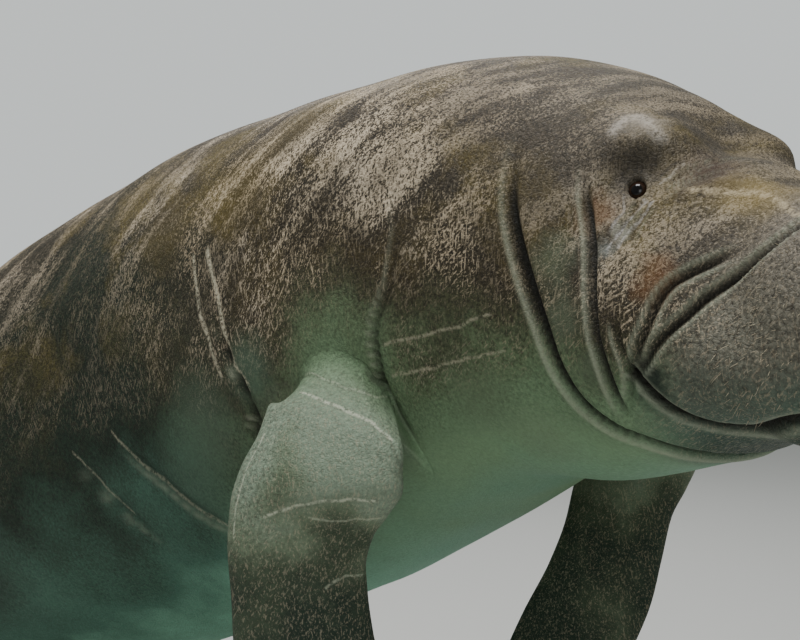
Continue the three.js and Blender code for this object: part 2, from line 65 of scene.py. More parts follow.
# Rounded masses of the head: centre (behind the muzzle, to the side, up), radii, nose-up tilt, blend
MASSES = {
    "brow": ((250, 60, 88), (50, 42, 34), -18, 40),
    "cheek": ((226, 68, -66), (95, 60, 88), 0, 50),
    "bridge of the nose": ((84, 0, -3), (84, 58, 42), -12, 34),
    "nostril boss": ((36, 28, 3), (32, 27, 22), -14, 26),
    "muzzle front": ((60, 0, -50), (57, 82, 64), 0, 30),
    "lip pad": ((62, 44, -52), (61, 52, 72), 0, 22),
    "lip pad rear": ((118, 56, -86), (66, 48, 42), 10, 26),
    "chin": ((94, 0, -122), (50, 60, 32), 8, 22),
}

# Folds: round the body or not, depth, width, raised edge, fading ends, and their line: (behind the muzzle,
# degrees up the side) round the body, or else (behind the muzzle, up) on the side of the head
FOLDS = {
    "mouth": (False, 12, 4.5, 0.3, (0, 0.04), [
        (188, -92), (179, -103), (170, -116), (158, -130), (142, -139), (118, -140), (97, -136),
        (67, -128), (40, -123), (15, -119), (-20, -115)]),
    "lip pad crease": (False, 8, 4.5, 0.6, (0.06, 0.15), [
        (182, -97), (172, -84), (164, -72), (152, -58), (140, -46), (128, -32), (112, -18), (95, -4),
        (77, 11), (64, 25), (56, 38)]),
    "cheek fold": (False, 7, 5, 0.75, (0.1, 0.25), [
        (186, -94), (180, -82), (176, -70), (168, -52), (162, -34), (154, -20), (142, -11), (130, -4),
        (118, 2), (104, 9)]),
    "first neck fold": (True, 14, 8, 0.7, (0.25, 0), [
        (345, 44), (337, 30), (326, 17), (312, 5), (296, -8), (280, -20), (268, -31), (252, -41),
        (236, -47), (220, -52), (204, -56), (192, -64), (186, -76), (184, -90)]),
    "second neck fold": (True, 9, 6, 0.7, (0.25, 0.15), [
        (266, 42), (258, 32), (248, 24), (235, 12), (225, -5), (219, -17), (212, -27), (207, -37),
        (205, -47)]),
    "short neck fold": (True, 5, 4.5, 0.5, (0.2, 0.2), [
        (199, -10), (195, -18), (189, -25), (189, -33), (206, -45)]),
    "shoulder fold": (True, 7, 6, 0.6, (0.6, 0.2), [
        (462, 24), (458, 11), (453, 2), (467, -11), (494, -21), (504, -29), (513, -38), (528, -47),
        (548, -55), (576, -63)]),
    "fold behind the arm": (True, 10, 4.5, 0.4, (0.35, 0.1), [
        (756, -3), (749, -9), (743, -15), (735, -21), (737, -25), (748, -28), (766, -30)]),
    "upper flank fold": (True, 4, 7, 0.4, (0.3, 0.3), [
        (1045, -10), (1015, -17), (985, -23), (955, -31), (925, -38), (900, -44)]),
    "lower flank fold": (True, 3, 7, 0.4, (0.3, 0.3), [
        (1150, -8), (1120, -16), (1090, -25), (1060, -34)]),
    "ridge from the eye to the nose": (False, -4.5, 8, 0.2, (0.2, 0.3), [
        (192, 60), (176, 58), (156, 62), (140, 64), (120, 56), (100, 47), (80, 40), (60, 36)]),
    "upper corner wrinkle": (False, 2.5, 3, 0.7, (0.15, 0.3), [(197, 66), (184, 80), (170, 98)]),
    "lower corner wrinkle": (False, 2.5, 3, 0.7, (0.15, 0.3), [(192, 58), (174, 68), (156, 78)]),
    "wrinkle under the eye": (False, 2.5, 3.5, 0.7, (0.15, 0.3), [(206, 52), (212, 34), (216, 14)]),
    "wrinkle before the eye": (False, 2.5, 3.5, 0.7, (0.15, 0.3), [(198, 49), (200, 30), (201, 10)]),
}
# Folds of the upper arm: depth, width, raised edge, and their line as (down the arm, degrees round it)
ARM_FOLDS = {
    "front of the arm": (2, 4, 0.8, [
        (77, 114), (85, 93), (90, 68), (91, 42), (99, 21), (115, 6), (131, -16), (147, -40)]),
    "sleeve over the arm": (2.5, 5, 0.8, [
        (-75, 160), (-41, 148), (-16, 137), (23, 120), (51, 88), (57, 64), (48, 44), (16, 17)]),
    "upper elbow wrinkle": (2, 3.5, 0.8, [
        (217, 113), (205, 100), (195, 88), (184, 74), (170, 52), (164, 30)]),
    "lower elbow wrinkle": (1.5, 3, 0.8, [
        (205, 78), (204, 61), (194, 42), (186, 15)]),
    "wrist wrinkle": (1.8, 3.5, 0.8, [
        (282, 63), (274, 54), (267, 42), (268, 16)]),
    "rear edge of the arm": (1.2, 4.5, 0.8, [
        (143, 143), (166, 147), (193, 146), (220, 150), (244, 149)]),
    "fold before the arm": (4, 7, 0.4, [(12, 48), (2, 28), (0, 5), (0, -15), (4, -40)]),
}

# The rear side of a fold round the body swells over it by a share of its depth; painted highlights lie on
# the rims beside folds
LAP, LAP_REACH, RIM_HIGHLIGHT_WIDE = 0.16, 4, 0.38
# Painted highlights on the rims of folds: how far from a fold's line in its widths, and how strong for each
# mm of depth, on body and arms
BODY_RIM_HIGHLIGHT, ARM_RIM_HIGHLIGHT = (1.3, 0.16), (0.35, 0.08)

# Chart of the body: millimetres for a degree round it, and how far apart its two sides are laid
DEGREE_LENGTH, OTHER_SIDE = 3, 500
# Chart of an arm: millimetres for a degree round it, size of its root, how far it is laid on the body
ARM_DEGREE_LENGTH, ARM_ROOT, ARM_CHART_REACH, FAR_AWAY = 1.3, 92, 1.9, -9999

# Eyes, their lids, pits and hollows, and nostrils
EYE_S, EYE_Z, EYE_RADIUS, EYE_OPENING = 216, 64, 11, 7.5
EYE_DEPTH, EYE_PIT, LID_AT, LID_RISE, LID_WIDE = 15, 11, 12, 3, 3.5
EYE_STRETCH, PIT_EASE, HOLLOW_FALL = 1.15, 4, 1.1
HOLLOW_S, HOLLOW_Z, HOLLOW_LENGTH, HOLLOW_ABOVE, HOLLOW_BELOW, HOLLOW_DEPTH = 224, 81, 29, 28, 22, 13
CORNEA_BULGE, CORNEA_REACH, CORNEA_EASE = 0.05, 0.7, 0.3
NOSTRIL_AT, NOSTRIL_RADIUS, NOSTRIL_WIDTH, NOSTRIL_DEPTH = (27, 27, 25), 13, 3.5, 8
NOSTRIL_SPREAD = 0.6

# Spine in the pose: pitch (head up) and turn to the right, in degrees, at places behind the muzzle
POSE_AT = (120, 350, 620, 1250, 2050, 2800)
POSE_PITCH = (0.7, -7.7, 13, 24.4, 27, 12)
POSE_TURN = (24.8, 23.3, 16.3, -11.2, -9, -3)
SPINE_ZERO = 570
ORIGIN = np.array([841.1, 48.4, 926])

# Flippers from the root down: centre, chord, thickness, and turn of the chord to the left of +X
FLIPPERS = {
    "right": (-1, (508, 676, -62, -20), [
        (-28, -278, -184, 177, 66, 10), (-25, -288, -212, 179, 74, 13), (-36, -299, -241, 173, 70, 18),
        (-51, -303, -275, 157, 60, 26), (-55, -305, -310, 148, 52, 30), (-54, -302, -350, 145, 46, 32),
        (-52, -299, -393, 149, 40, 32), (-46, -293, -450, 156, 33, 32), (-36, -286, -510, 150, 26, 32),
        (-26, -280, -560, 124, 20, 32), (-18, -276, -595, 82, 15, 32), (-13, -273, -612, 36, 9, 32)]),
    "left": (1, (540, 714, -62, -20), [
        (52, 284, -188, 150, 66, -28), (56, 286, -214, 170, 72, -24), (50, 280, -245, 174, 68, -14),
        (38, 264, -283, 162, 60, -2), (28, 247, -319, 150, 52, 6), (22, 231, -374, 146, 45, 12),
        (13, 210, -430, 152, 38, 14), (-4, 176, -492, 156, 32, 14), (-22, 140, -550, 146, 26, 14),
        (-36, 112, -592, 118, 20, 14), (-46, 92, -622, 78, 15, 14), (-50, 84, -636, 36, 9, 14)]),
}
# Nails: places across the flipper, place down its table, drop towards the tip; width, thickness, length
NAIL_PLACES, NAIL_SECTION, NAIL_DROP = (-0.5, -0.05, 0.4), 9.5, 12
NAIL_SIZE, NAIL_TAPER = (17, 8, 24), 0.25

# Finish of the stand: rounded edges of the base in plan and at the top, weld round the foot of a rod
BASE_CORNER, BASE_EDGE, ROD_WELD = 8, 4, 4

# Mesh of the skin: steps round the body and how they crowd at its sides, rings, and loops down a flipper
AROUND, SIDE_CROWDING, FAN_STEPS = 240, 0.17, 40
RING_STEPS = (
    (115, 185, 2.9), (187, 223, 2), (226, 345, 3.2), (350, 500, 5), (506, 740, 6.5), (750, 1100, 10),
    (1120, 2380, 22), (2400, 2960, 17), (2966, 2996, 5),
)
BLEND_LOOPS, SECTION_STEP = 44, 0.22
# A flipper's direction is taken over table rows either way; how far its blend runs on along the body and the
# flipper, as a share of its span; how far its tip stands out; how far round its patch the grid is drawn in
AXIS_REACH, LEAVE, ARRIVE, TIP_REACH, PATCH_EASE = 2.5, 0.65, 0.95, 6, 1.3
# Halvings of a search along a ray or an angle; step that the flesh's direction is taken over
HALVINGS, NORMAL_STEP = 24, 1.5

# Soft uneven swelling of the skin: wavelength, height and seed of each, and how it fades to tail and muzzle
SWELLS = ((260, 2.2, 5), (90, 0.8, 6))
SWELL_TAIL, SWELL_FROM, SWELL_FULL = 700, 60, 300
SWELL_WAVES, SWELL_SPREAD = 14, (0.7, 1.4)

# Zones of the hide: end of the muzzle and its slant, eye socket darkened by its own dark skin and by painted
# shade, depth at which a crease's painted shade is full dark
MUZZLE_END, MUZZLE_SLANT, MUZZLE_EASE = 150, 0.45, 60
SOCKET_LENGTH, SOCKET_HEIGHT, SOCKET_EDGE, SOCKET_OUT = 25, 27, 1.6, 40
CREASE_SHADE_DEPTH = 9

# Bristles: least and greatest length, what the lowest add to it, radius, depth of the root; then where the
# lip pad has them: clear of its creases, out of grooves, longer over this height and from this place back,
# and points drawn for each that is kept
BRISTLE_LENGTH, BRISTLE_LONGER, BRISTLE_RADIUS, BRISTLE_ROOT = (2, 4.5), 13, (0.2, 0.36), 0.6
PAD_CLEAR, PAD_GROOVE, PAD_HEIGHT, PAD_FRONT, PAD_DRAWS = 5, -2, 90, 40, 4

# Steps of the balls of eyes and nails, and degrees of the stand's roundings
BALL_RINGS, EYE_STEPS, NAIL_STEPS = 24, 40, 32
ROUND_STEP, BEND_STEP = 5, 15

# Stage: camera from the zero of the spine, its turn and sensor, in mm and degrees; half the floor's side,
# lamps as place, power and size, and what they aim at, in metres and watts; strength of the studio's light
CAMERA_FROM_ORIGIN, CAMERA_TURN, SENSOR_WIDTH = (692, -1028, -67), 40, 36
FLOOR_HALF = 40
LAMPS = {
    "key": ((0.7, -0.7, 4.0), 122, 1.6), "back": ((-1.5, 2.4, 3.2), 35, 2.5),
    "fill": ((3.0, -3.4, 1.6), 32, 2.0),
}
LAMP_AIM = (0.6, 0, 0.8)
LIT_STRENGTH, SEEN_STRENGTH = 0.42, 0.95


def linear(colour):
    """Turn an sRGB hex colour into linear red, green, blue and alpha."""
    srgb = np.array([int(colour[k:k + 2], 16) for k in (1, 3, 5)]) / 255
    rgb = np.where(srgb <= 0.04045, srgb / 12.92, ((srgb + 0.055) / 1.055) ** 2.4)
    return (*map(float, rgb), 1.0)


def smooth(t):
    """Ease from 0 to 1: three t squared less two t cubed, held at its ends."""
    t = np.clip(t, 0, 1)
    return t * t * (3 - 2 * t)


def monotone(xs, ys):
    """Smooth curve through a table that never overshoots it: cubic pieces with harmonic mean slopes."""
    xs, ys = np.asarray(xs, float), np.asarray(ys, float)
    h, rise = np.diff(xs), np.diff(ys)
    d = rise / h
    m = np.empty_like(ys)
    a, b = 2 * h[1:] + h[:-1], h[1:] + 2 * h[:-1]
    same = d[:-1] * d[1:] > 0
    safe = np.where(same, d[:-1], 1), np.where(same, d[1:], 1)
    m[1:-1] = np.where(same, (a + b) / (a / safe[0] + b / safe[1]), 0)
    m[0], m[-1] = d[0], d[-1]

    def curve(x):
        x = np.clip(x, xs[0], xs[-1])
        k = np.clip(np.searchsorted(xs, x, side="right") - 1, 0, len(xs) - 2)
        t = (x - xs[k]) / h[k]
        u = 1 - t
        return ((1 + 2 * t) * u * u * ys[k] + t * u * u * h[k] * m[k]
                + t * t * (3 - 2 * t) * ys[k + 1] - t * t * u * h[k] * m[k + 1])
    return curve


half_width, above, below = (monotone(SECTIONS[:, 0], SECTIONS[:, k]) for k in (1, 2, 3))


def ring_height(s):
    """Height of a ring's centre: the fan's point at the muzzle, easing up to the spine."""
    return FAN_HEIGHT * (1 - smooth((s - FAN_AT) / (FAN_LEVELLED - FAN_AT)))


def trunk_distance(p):
    """Distance from the trunk in its ring: radius less that of a superellipse of the section's sizes."""
    s, y, z = p[..., 0], p[..., 1], p[..., 2]
    lift = ring_height(s)
    radius = np.hypot(y, z - lift) + 1e-6
    across, up = y / radius, (z - lift) / radius
    height = np.where(up > 0, above(s) - lift, below(s) + lift)
    total = ((np.abs(across) / np.maximum(half_width(s), 1)) ** SECTION_POWER
             + (np.abs(up) / np.maximum(height, 1)) ** SECTION_POWER)
    return np.maximum(radius - total ** (-1 / SECTION_POWER), SECTIONS[0, 0] - s)


def mass_distance(p, at, radii, tilt):
    """Distance from a tilted ellipsoid and its mirror image, from its implicit function and slope."""
    c, n = np.cos(np.radians(tilt)), np.sin(np.radians(tilt))
    ds, dy, dz = p[..., 0] - at[0], np.abs(p[..., 1]) - at[1], p[..., 2] - at[2]
    q = np.stack([ds * c + dz * n, dy, dz * c - ds * n])
    r = np.array(radii, float).reshape(3, *[1] * (q.ndim - 1))
    near = np.sqrt(((q / r) ** 2).sum(0)) + 1e-9
    slope = np.sqrt(((q / r ** 2) ** 2).sum(0)) + 1e-9
    return near * (near - 1) / slope


def flesh_distance(p):
    """Distance from the smooth flesh: the trunk and the head's masses, each blended in over its width."""
    d = trunk_distance(p)
    for at, radii, tilt, blend in MASSES.values():
        other = mass_distance(p, at, radii, tilt)
        h = np.maximum(blend - np.abs(d - other), 0) / blend
        d = np.minimum(d, other) - h * h * blend / 4
    return d


def flesh_point(place, angle):
    """Point of the flesh on a ray, by halving: a place up to 1 fans over the muzzle, others are rings."""
    place, angle = np.broadcast_arrays(place, angle)
    opening = np.minimum(place, 1) * np.pi / 2
    s = np.where(place <= 1, FAN_AT, place)
    start = np.stack([s, 0 * s, ring_height(s)], -1)
    out = np.sin(opening)
    ray = np.stack([-np.cos(opening), out * np.cos(angle), out * np.sin(angle)], -1)
    inside, outside = np.zeros(s.shape), np.full(s.shape, float(REACH))
    for _ in range(HALVINGS):
        middle = (inside + outside) / 2
        within = flesh_distance(start + middle[..., None] * ray) < 0
        inside, outside = np.where(within, middle, inside), np.where(within, outside, middle)
    return start + inside[..., None] * ray


def flesh_normal(p):
    """Outward direction of the flesh: the slope of its distance over a short step each way."""
    steps = NORMAL_STEP * np.eye(3)
    n = np.stack([flesh_distance(p + step) - flesh_distance(p - step) for step in steps], -1)
    return n / (np.linalg.norm(n, axis=-1, keepdims=True) + 1e-9)


def spline(points, per_span=6):
    """Centripetal curve through given points, as a finer list of points."""
    p = np.array(points, float)
    p = np.vstack([2 * p[0] - p[1], p, 2 * p[-1] - p[-2]])
    t = np.concatenate([[0], np.cumsum(np.linalg.norm(np.diff(p, axis=0), axis=1) ** 0.5)])
    out = []
    for k in range(1, len(p) - 2):
        x = np.linspace(t[k], t[k + 1], per_span, endpoint=False)[:, None]

        def mix(a, b, i, j):
            return ((t[j] - x) * a + (x - t[i]) * b) / (t[j] - t[i])
        a1, a2, a3 = (mix(p[i], p[i + 1], i, i + 1) for i in (k - 1, k, k + 1))
        b1, b2 = mix(a1, a2, k - 1, k + 1), mix(a2, a3, k, k + 2)
        out.append(mix(b1, b2, k, k + 1))
    return np.vstack([*out, p[-2]])


def nearest_on_line(a, b, line):
    """Distance of points (a, b) from a line of short spans, share of the way along it, and side."""
    p, q = line[:-1], line[1:]
    span = q - p
    da, db = a[:, None] - p[:, 0], b[:, None] - p[:, 1]
    t = np.clip((da * span[:, 0] + db * span[:, 1]) / (span ** 2).sum(1), 0, 1)
    d = np.hypot(da - t * span[:, 0], db - t * span[:, 1])
    k = d.argmin(1)
    rows = np.arange(len(a))
    return d[rows, k], (k + t[rows, k]) / len(span), (span[:, 0] * db - span[:, 1] * da)[rows, k]


def lay_fold(marks, a, b, line, depth, width, roll, fading, lapped, rim_highlight):
    """Add a fold to rows of (relief, painted rim highlight) at points (a, b), fading to its ends.

    The relief is a groove with raised edges, -depth (1 - roll q) exp(-q) with q the squared distance in
    widths; on the side to the left of its line a lapped fold swells by LAP depth exp(-q / LAP_REACH^2).
    """
    reach = 2 * LAP_REACH * width
    low, high = line.min(0) - reach, line.max(0) + reach
    near = np.flatnonzero((a > low[0]) & (a < high[0]) & (b > low[1]) & (b < high[1]))
    d, share, side = nearest_on_line(a[near], b[near], line)
    start, end = (max(f, MM) for f in fading)
    fade = smooth(np.minimum(share / start, (1 - share) / end))
    q = (d / width) ** 2
    over = (side > 0) | (not lapped)
    swell = LAP * lapped * over * smooth(d / width) * np.exp(-q / LAP_REACH ** 2)
    marks[near, 0] += depth * fade * (swell - (1 - roll * q) * np.exp(-q))
    # Painted highlight on the rim beside the fold: a band rim_at widths from its line, stronger for deeper
    # folds
    rim_at, worn = rim_highlight
    rim = over * fade * np.exp(-((d / width - rim_at) / RIM_HIGHLIGHT_WIDE) ** 2) * min(worn * depth, 1)
    marks[near, 1] = np.maximum(marks[near, 1], rim)


def side_degrees(p):
    """Degrees that a point lies up the side of its ring, the same on both sides."""
    return np.degrees(np.arctan2(p[..., 2] - ring_height(p[..., 0]), np.abs(p[..., 1])))


def fold_marks(p):
    """Relief and painted rim highlight of every fold of the body at points of the flesh."""
    s, chart, z = p[..., 0].ravel(), side_degrees(p).ravel() * DEGREE_LENGTH, p[..., 2].ravel()
    marks = np.zeros((len(s), 2))
    for around, depth, width, roll, fading, points in FOLDS.values():
        line = spline([(a, b * DEGREE_LENGTH) for a, b in points] if around else points)
        lay_fold(marks, s, chart if around else z, line, depth, width, roll, fading, around, BODY_RIM_HIGHLIGHT)
    return marks.reshape(*p.shape[:-1], 2)


def arm_marks(chart):
    """Relief and painted rim highlight of the folds of the upper arms at places in the arms' chart."""
    marks = np.zeros((len(chart), 2))
    for depth, width, roll, points in ARM_FOLDS.values():
        line = spline([(down, degrees * ARM_DEGREE_LENGTH) for down, degrees in points])
        lay_fold(marks, *chart.T, line, depth, width, roll, (0.2, 0.2), False, ARM_RIM_HIGHLIGHT)
    return marks


def turned_round(up, ahead):
    """Place round an arm in its chart: degrees from the front edge over the outer face, cut inside."""
    degrees = np.degrees(np.arctan2(up, ahead))
    return np.where(degrees < -90, degrees + 360, degrees) * ARM_DEGREE_LENGTH


def eye_centre_line():
    """Point of the flesh over the eye and its angle, by halving the angle until the height is right."""
    low, high = 0.0, np.pi / 2
    for _ in range(HALVINGS):
        middle = (low + high) / 2
        below_eye = flesh_point(np.array(EYE_S), np.array(middle))[2] < EYE_Z
        low, high = (middle, high) if below_eye else (low, middle)
    return flesh_point(np.array(EYE_S), np.array(low))


EYE_POINT = eye_centre_line()


def eye_relief(p):
    """Hollow of the eye, the raised ring of its lids, and the pit that the eyeball shows in."""
    s, y, z = p[..., 0], np.abs(p[..., 1]), p[..., 2]
    height = np.where(z > HOLLOW_Z, HOLLOW_ABOVE, HOLLOW_BELOW)
    hollow = ((s - HOLLOW_S) / HOLLOW_LENGTH) ** 2 + ((z - HOLLOW_Z) / height) ** 2
    s, y, z = (s - EYE_POINT[0]) / EYE_STRETCH, y - EYE_POINT[1], z - EYE_POINT[2]
    away = np.sqrt(s ** 2 + y ** 2 + z ** 2)
    return (-HOLLOW_DEPTH * np.exp(-HOLLOW_FALL * hollow)
            + LID_RISE * np.exp(-((away - LID_AT) / LID_WIDE) ** 2)
            - EYE_PIT * smooth((EYE_OPENING + PIT_EASE / 2 - away) / PIT_EASE))


def nostril_relief(p):
    """Crescent slits: a groove along the inner rear of a circle on each side."""
    s, y, z = NOSTRIL_AT
    ds, dy, dz = p[..., 0] - s, np.abs(p[..., 1]) - y, p[..., 2] - z
    ring = np.sqrt(ds ** 2 + dy ** 2 + dz ** 2) - NOSTRIL_RADIUS
    opened = smooth((dy + ds) / NOSTRIL_RADIUS + NOSTRIL_SPREAD)
    return -NOSTRIL_DEPTH * opened * np.exp(-(ring / NOSTRIL_WIDTH) ** 2)


def undulation(p, wavelength, amplitude, seed):
    """Soft uneven swelling: a sum of plane waves in random directions about one wavelength."""
    draw = np.random.default_rng(seed)
    total = np.zeros(p.shape[:-1])
    for _ in range(SWELL_WAVES):
        direction = draw.normal(size=3)
        length = wavelength * draw.uniform(*SWELL_SPREAD)
        direction *= 2 * np.pi / (length * np.linalg.norm(direction))
        total += np.sin(p @ direction + draw.uniform(0, 2 * np.pi))
    return amplitude * total / np.sqrt(SWELL_WAVES)


def skin_point(place, angle):
    """Point of the finished skin of the straight animal, its outward direction, and its fold marks."""
    p = flesh_point(place, angle)
    n = flesh_normal(p)
    marks = fold_marks(p)
    marks[..., 0] += nostril_relief(p)
    fade = smooth((LENGTH - p[..., 0]) / SWELL_TAIL) * smooth((p[..., 0] - SWELL_FROM) / SWELL_FULL)
    swell = sum(undulation(p, *size) for size in SWELLS) * fade
    rise = marks[..., 0] + eye_relief(p) + swell
    return p + rise[..., None] * n, n, marks


pitch_at = monotone(POSE_AT, np.radians(POSE_PITCH))
turn_at = monotone(POSE_AT, np.radians(POSE_TURN))
SPINE_STEP, SPINE_START = 5, -200


def forward_at(s):
    """Direction of the spine towards the head at a place, from its pitch and turn."""
    pitch, turn = pitch_at(s), turn_at(s)
    return np.stack([np.cos(pitch) * np.cos(turn), -np.cos(pitch) * np.sin(turn), np.sin(pitch)], -1)


SPINE_AT = np.arange(SPINE_START, LENGTH + 200 + SPINE_STEP, SPINE_STEP, dtype=float)
SPINE = np.cumsum(-SPINE_STEP * forward_at(SPINE_AT[:-1] + SPINE_STEP / 2), axis=0)
SPINE = np.vstack([np.zeros(3), SPINE])


def spine_frame(s):
    """Centre, forward, left and up of the posed spine at a place behind the muzzle."""
    centre = np.stack([np.interp(s, SPINE_AT, SPINE[:, k]) for k in range(3)], -1)
    zero = np.array([np.interp(SPINE_ZERO, SPINE_AT, SPINE[:, k]) for k in range(3)])
    turn, forward = turn_at(s), forward_at(s)
    left = np.stack([np.sin(turn), np.cos(turn), 0 * turn], -1)
    return centre - zero + ORIGIN, forward, left, np.cross(forward, left)


def posed(p):
    """Point of the straight animal set on the posed spine."""
    centre, _, left, up = spine_frame(p[..., 0])
    return centre + p[..., 1:2] * left + p[..., 2:3] * up


def round_patch(place, angle):
    """Places and angles drawn in so that a flipper's square patch of the grid has a round edge."""
    place, angle = place.copy(), angle.copy()
    for side, (front, rear, low, high), _ in FLIPPERS.values():
        middle = np.radians((low + high) / 2)
        middle = middle % (2 * np.pi) if side > 0 else np.pi - middle
        u = (place - (front + rear) / 2) / ((rear - front) / 2)
        v = (angle - middle) / np.radians((high - low) / 2)
        m = np.maximum(np.maximum(np.abs(u), np.abs(v)), 1)
        u0, v0 = u / m, v / m
        keep = (1 - smooth((m - 1) / PATCH_EASE)) * (place > 1)
        place += keep * u0 * (np.sqrt(1 - v0 ** 2 / 2) - 1) * (rear - front) / 2
        angle += keep * v0 * (np.sqrt(1 - u0 ** 2 / 2) - 1) * np.radians(high - low) / 2
    return place, angle


def flipper_section(name, t):
    """Centre, way down, chord, outer side, half chord and half thickness of a flipper's section."""
    side, _, sections = FLIPPERS[name]
    curves = [monotone(range(len(sections)), column) for column in zip(*sections)]
    reach = (t, min(t + AXIS_REACH, len(sections) - 1), max(t - AXIS_REACH, 0))
    centre, ahead, back = (np.array([curve(v) for curve in curves[:3]]) for v in reach)
    axis = (ahead - back) / np.linalg.norm(ahead - back)
    turn = np.radians(curves[5](t))
    chord = np.array([np.cos(turn), np.sin(turn), 0])
    chord -= axis * (chord @ axis)
    chord /= np.linalg.norm(chord)
    out = -side * np.cross(axis, chord)
    return centre + ORIGIN, axis, chord, out, curves[3](t) / 2, curves[4](t) / 2


class SkinGrid:
    """Rings of the skin from muzzle to tail and the loops of each flipper, as arrays of points and faces."""

    def __init__(self):
        rings = [np.arange(low, high + step / 2, step) for low, high, step in RING_STEPS]
        self.places = np.concatenate([np.arange(1, FAN_STEPS + 1) / FAN_STEPS, *rings])
        turn = np.arange(AROUND) * 2 * np.pi / AROUND
        self.angles = turn - SIDE_CROWDING * np.sin(2 * turn)
        place, angle = round_patch(*np.broadcast_arrays(self.places[:, None], self.angles))
        rest, _, marks = skin_point(place, angle)
        nose = skin_point(np.array([0.0]), np.array([0.0]))
        tail = np.array([[LENGTH, 0, 0]], float)
        self.index = 1 + np.arange(place.size).reshape(place.shape)
        self.rest = [nose[0], rest.reshape(-1, 3), tail]
        self.points = [posed(nose[0]), posed(rest).reshape(-1, 3), posed(tail)]
        self.marks = [nose[2], marks.reshape(-1, 2), np.zeros((1, 2))]
        self.arm = [np.zeros(place.size + 2)]
        self.arm_chart = [np.full((place.size + 2, 2), float(FAR_AWAY))]
        self.count = place.size + 2
        self.open = np.zeros((len(self.places) - 1, AROUND), bool)
        self.quads, self.fans = [], []
        for name in FLIPPERS:
            self.grow_flipper(name)
        self.close_body()

    def patch(self, name):
        """First and last ring and angle step of the open patch that a flipper grows from."""
        side, (front, rear, low, high), _ = FLIPPERS[name]
        ends = np.radians([low, high]) if side > 0 else np.pi - np.radians([low, high])
        columns = [int(np.abs(self.angles - end % (2 * np.pi)).argmin()) for end in ends]
        rows = [int(np.abs(self.places - s).argmin()) for s in (front, rear)]
        return *rows, *sorted(columns)

    def grow_flipper(self, name):
        """A flipper: loops that leave the patch's edge along the skin and bend into its sections."""
        side, (front, rear, _, _), sections = FLIPPERS[name]
        i0, i1, j0, j1 = self.patch(name)
        self.open[i0:i1, j0:j1] = True
        rows, columns = np.indices(self.index.shape)
        ahead = ((i0 + i1) / 2 - rows) / ((i1 - i0) / 2)
        up = side * (columns - (j0 + j1) / 2) / ((j1 - j0) / 2)
        out = np.maximum(np.abs(ahead), np.abs(up))
        near = (out < ARM_CHART_REACH).ravel()
        laid = np.stack([(1 - out) * ARM_ROOT, turned_round(up, ahead)], -1).reshape(-1, 2)
        self.arm_chart[0][1:-1][near] = laid[near]
        i = np.r_[np.full(j1 - j0, i0), np.arange(i0, i1), np.full(j1 - j0, i1), np.arange(i1, i0, -1)]
        j = np.r_[np.arange(j0, j1), np.full(i1 - i0, j1), np.arange(j1, j0, -1), np.full(i1 - i0, j0)]
        ahead, up = ahead[i, j], up[i, j]
        eccentric = np.arctan2(up, ahead)
        grid = self.points[1].reshape(*self.index.shape, 3)
        start = grid[i, j]
        facing = np.cross(grid[i + 1, j] - grid[i - 1, j], grid[i, j - 1] - grid[i, j + 1])
        facing /= np.linalg.norm(facing, axis=1, keepdims=True)

        def rim(t):
            """Rim of the flipper's section at a place down its table: an ellipse of chord and thickness."""
            centre, _, chord, out, length, thick = flipper_section(name, t)
            across = np.outer(np.cos(eccentric), chord * length)
            return centre + across + np.outer(np.sin(eccentric), out * thick)

        first = rim(0)
        span = np.linalg.norm(first - start, axis=1, keepdims=True)
        leave = start.mean(0) - start
        leave -= facing * (leave * facing).sum(1, keepdims=True)
        leave *= LEAVE * span / np.linalg.norm(leave, axis=1, keepdims=True)
        arrive = rim(SECTION_STEP) - first
        arrive *= ARRIVE * span / np.linalg.norm(arrive, axis=1, keepdims=True)
        loops = []
        for t in np.arange(1, BLEND_LOOPS + 1) / BLEND_LOOPS:
            loops.append(start * (1 + 2 * t) * (1 - t) ** 2 + leave * t * (1 - t) ** 2
                         + first * t * t * (3 - 2 * t) - arrive * t * t * (1 - t))
        last = len(sections) - 1
        steps = int(round(last / SECTION_STEP))
        for t in np.arange(1, steps + 1) * last / steps:
            loops.append(rim(t))
        down = np.linalg.norm(np.diff([start, *loops], axis=0), axis=2).mean(1).cumsum()
        laid = np.broadcast_arrays(down[:, None], turned_round(up, ahead))
        self.arm_chart += [np.stack(laid, -1).reshape(-1, 2), np.array([[down[-1], 0]])]
        centre, axis, *_ = flipper_section(name, last)
        points = np.vstack([*loops, centre + TIP_REACH * axis])
        centre, forward, left, upward = spine_frame(np.array((front + rear) / 2))
        local = points - centre
        rest = np.stack([(front + rear) / 2 - local @ forward, local @ left, local @ upward], -1)
        arm = np.r_[np.repeat(smooth(np.arange(1, len(loops) + 1) / BLEND_LOOPS), len(i)), 1]
        rows = self.count + np.arange(len(loops) * len(i)).reshape(len(loops), -1)
        rows = np.vstack([self.index[i, j], rows])
        ahead = np.roll(rows, -1, axis=1)
        self.quads.append(np.stack([ahead[:-1], rows[:-1], rows[1:], ahead[1:]], -1).reshape(-1, 4))
        end = np.full(len(i), self.count + len(points) - 1)
        self.fans.append(np.stack([ahead[-1], rows[-1], end], -1))
        self.points.append(points)
        self.rest.append(rest)
        self.marks.append(np.zeros((len(points), 2)))
        self.arm.append(arm)
        self.count += len(points)

    def close_body(self):
        """Faces between rings, apart from the flippers' patches, and the fans at the muzzle and tail."""
        ahead = np.roll(self.index, -1, axis=1)
        cells = np.stack([ahead[:-1], self.index[:-1], self.index[1:], ahead[1:]], -1)
        self.quads.append(cells[~self.open])
        nose, tail = np.zeros(AROUND, int), np.full(AROUND, self.index[-1, -1] + 1)
        self.fans.append(np.stack([nose, self.index[0], ahead[0]], -1))
        self.fans.append(np.stack([tail, ahead[-1], self.index[-1]], -1))


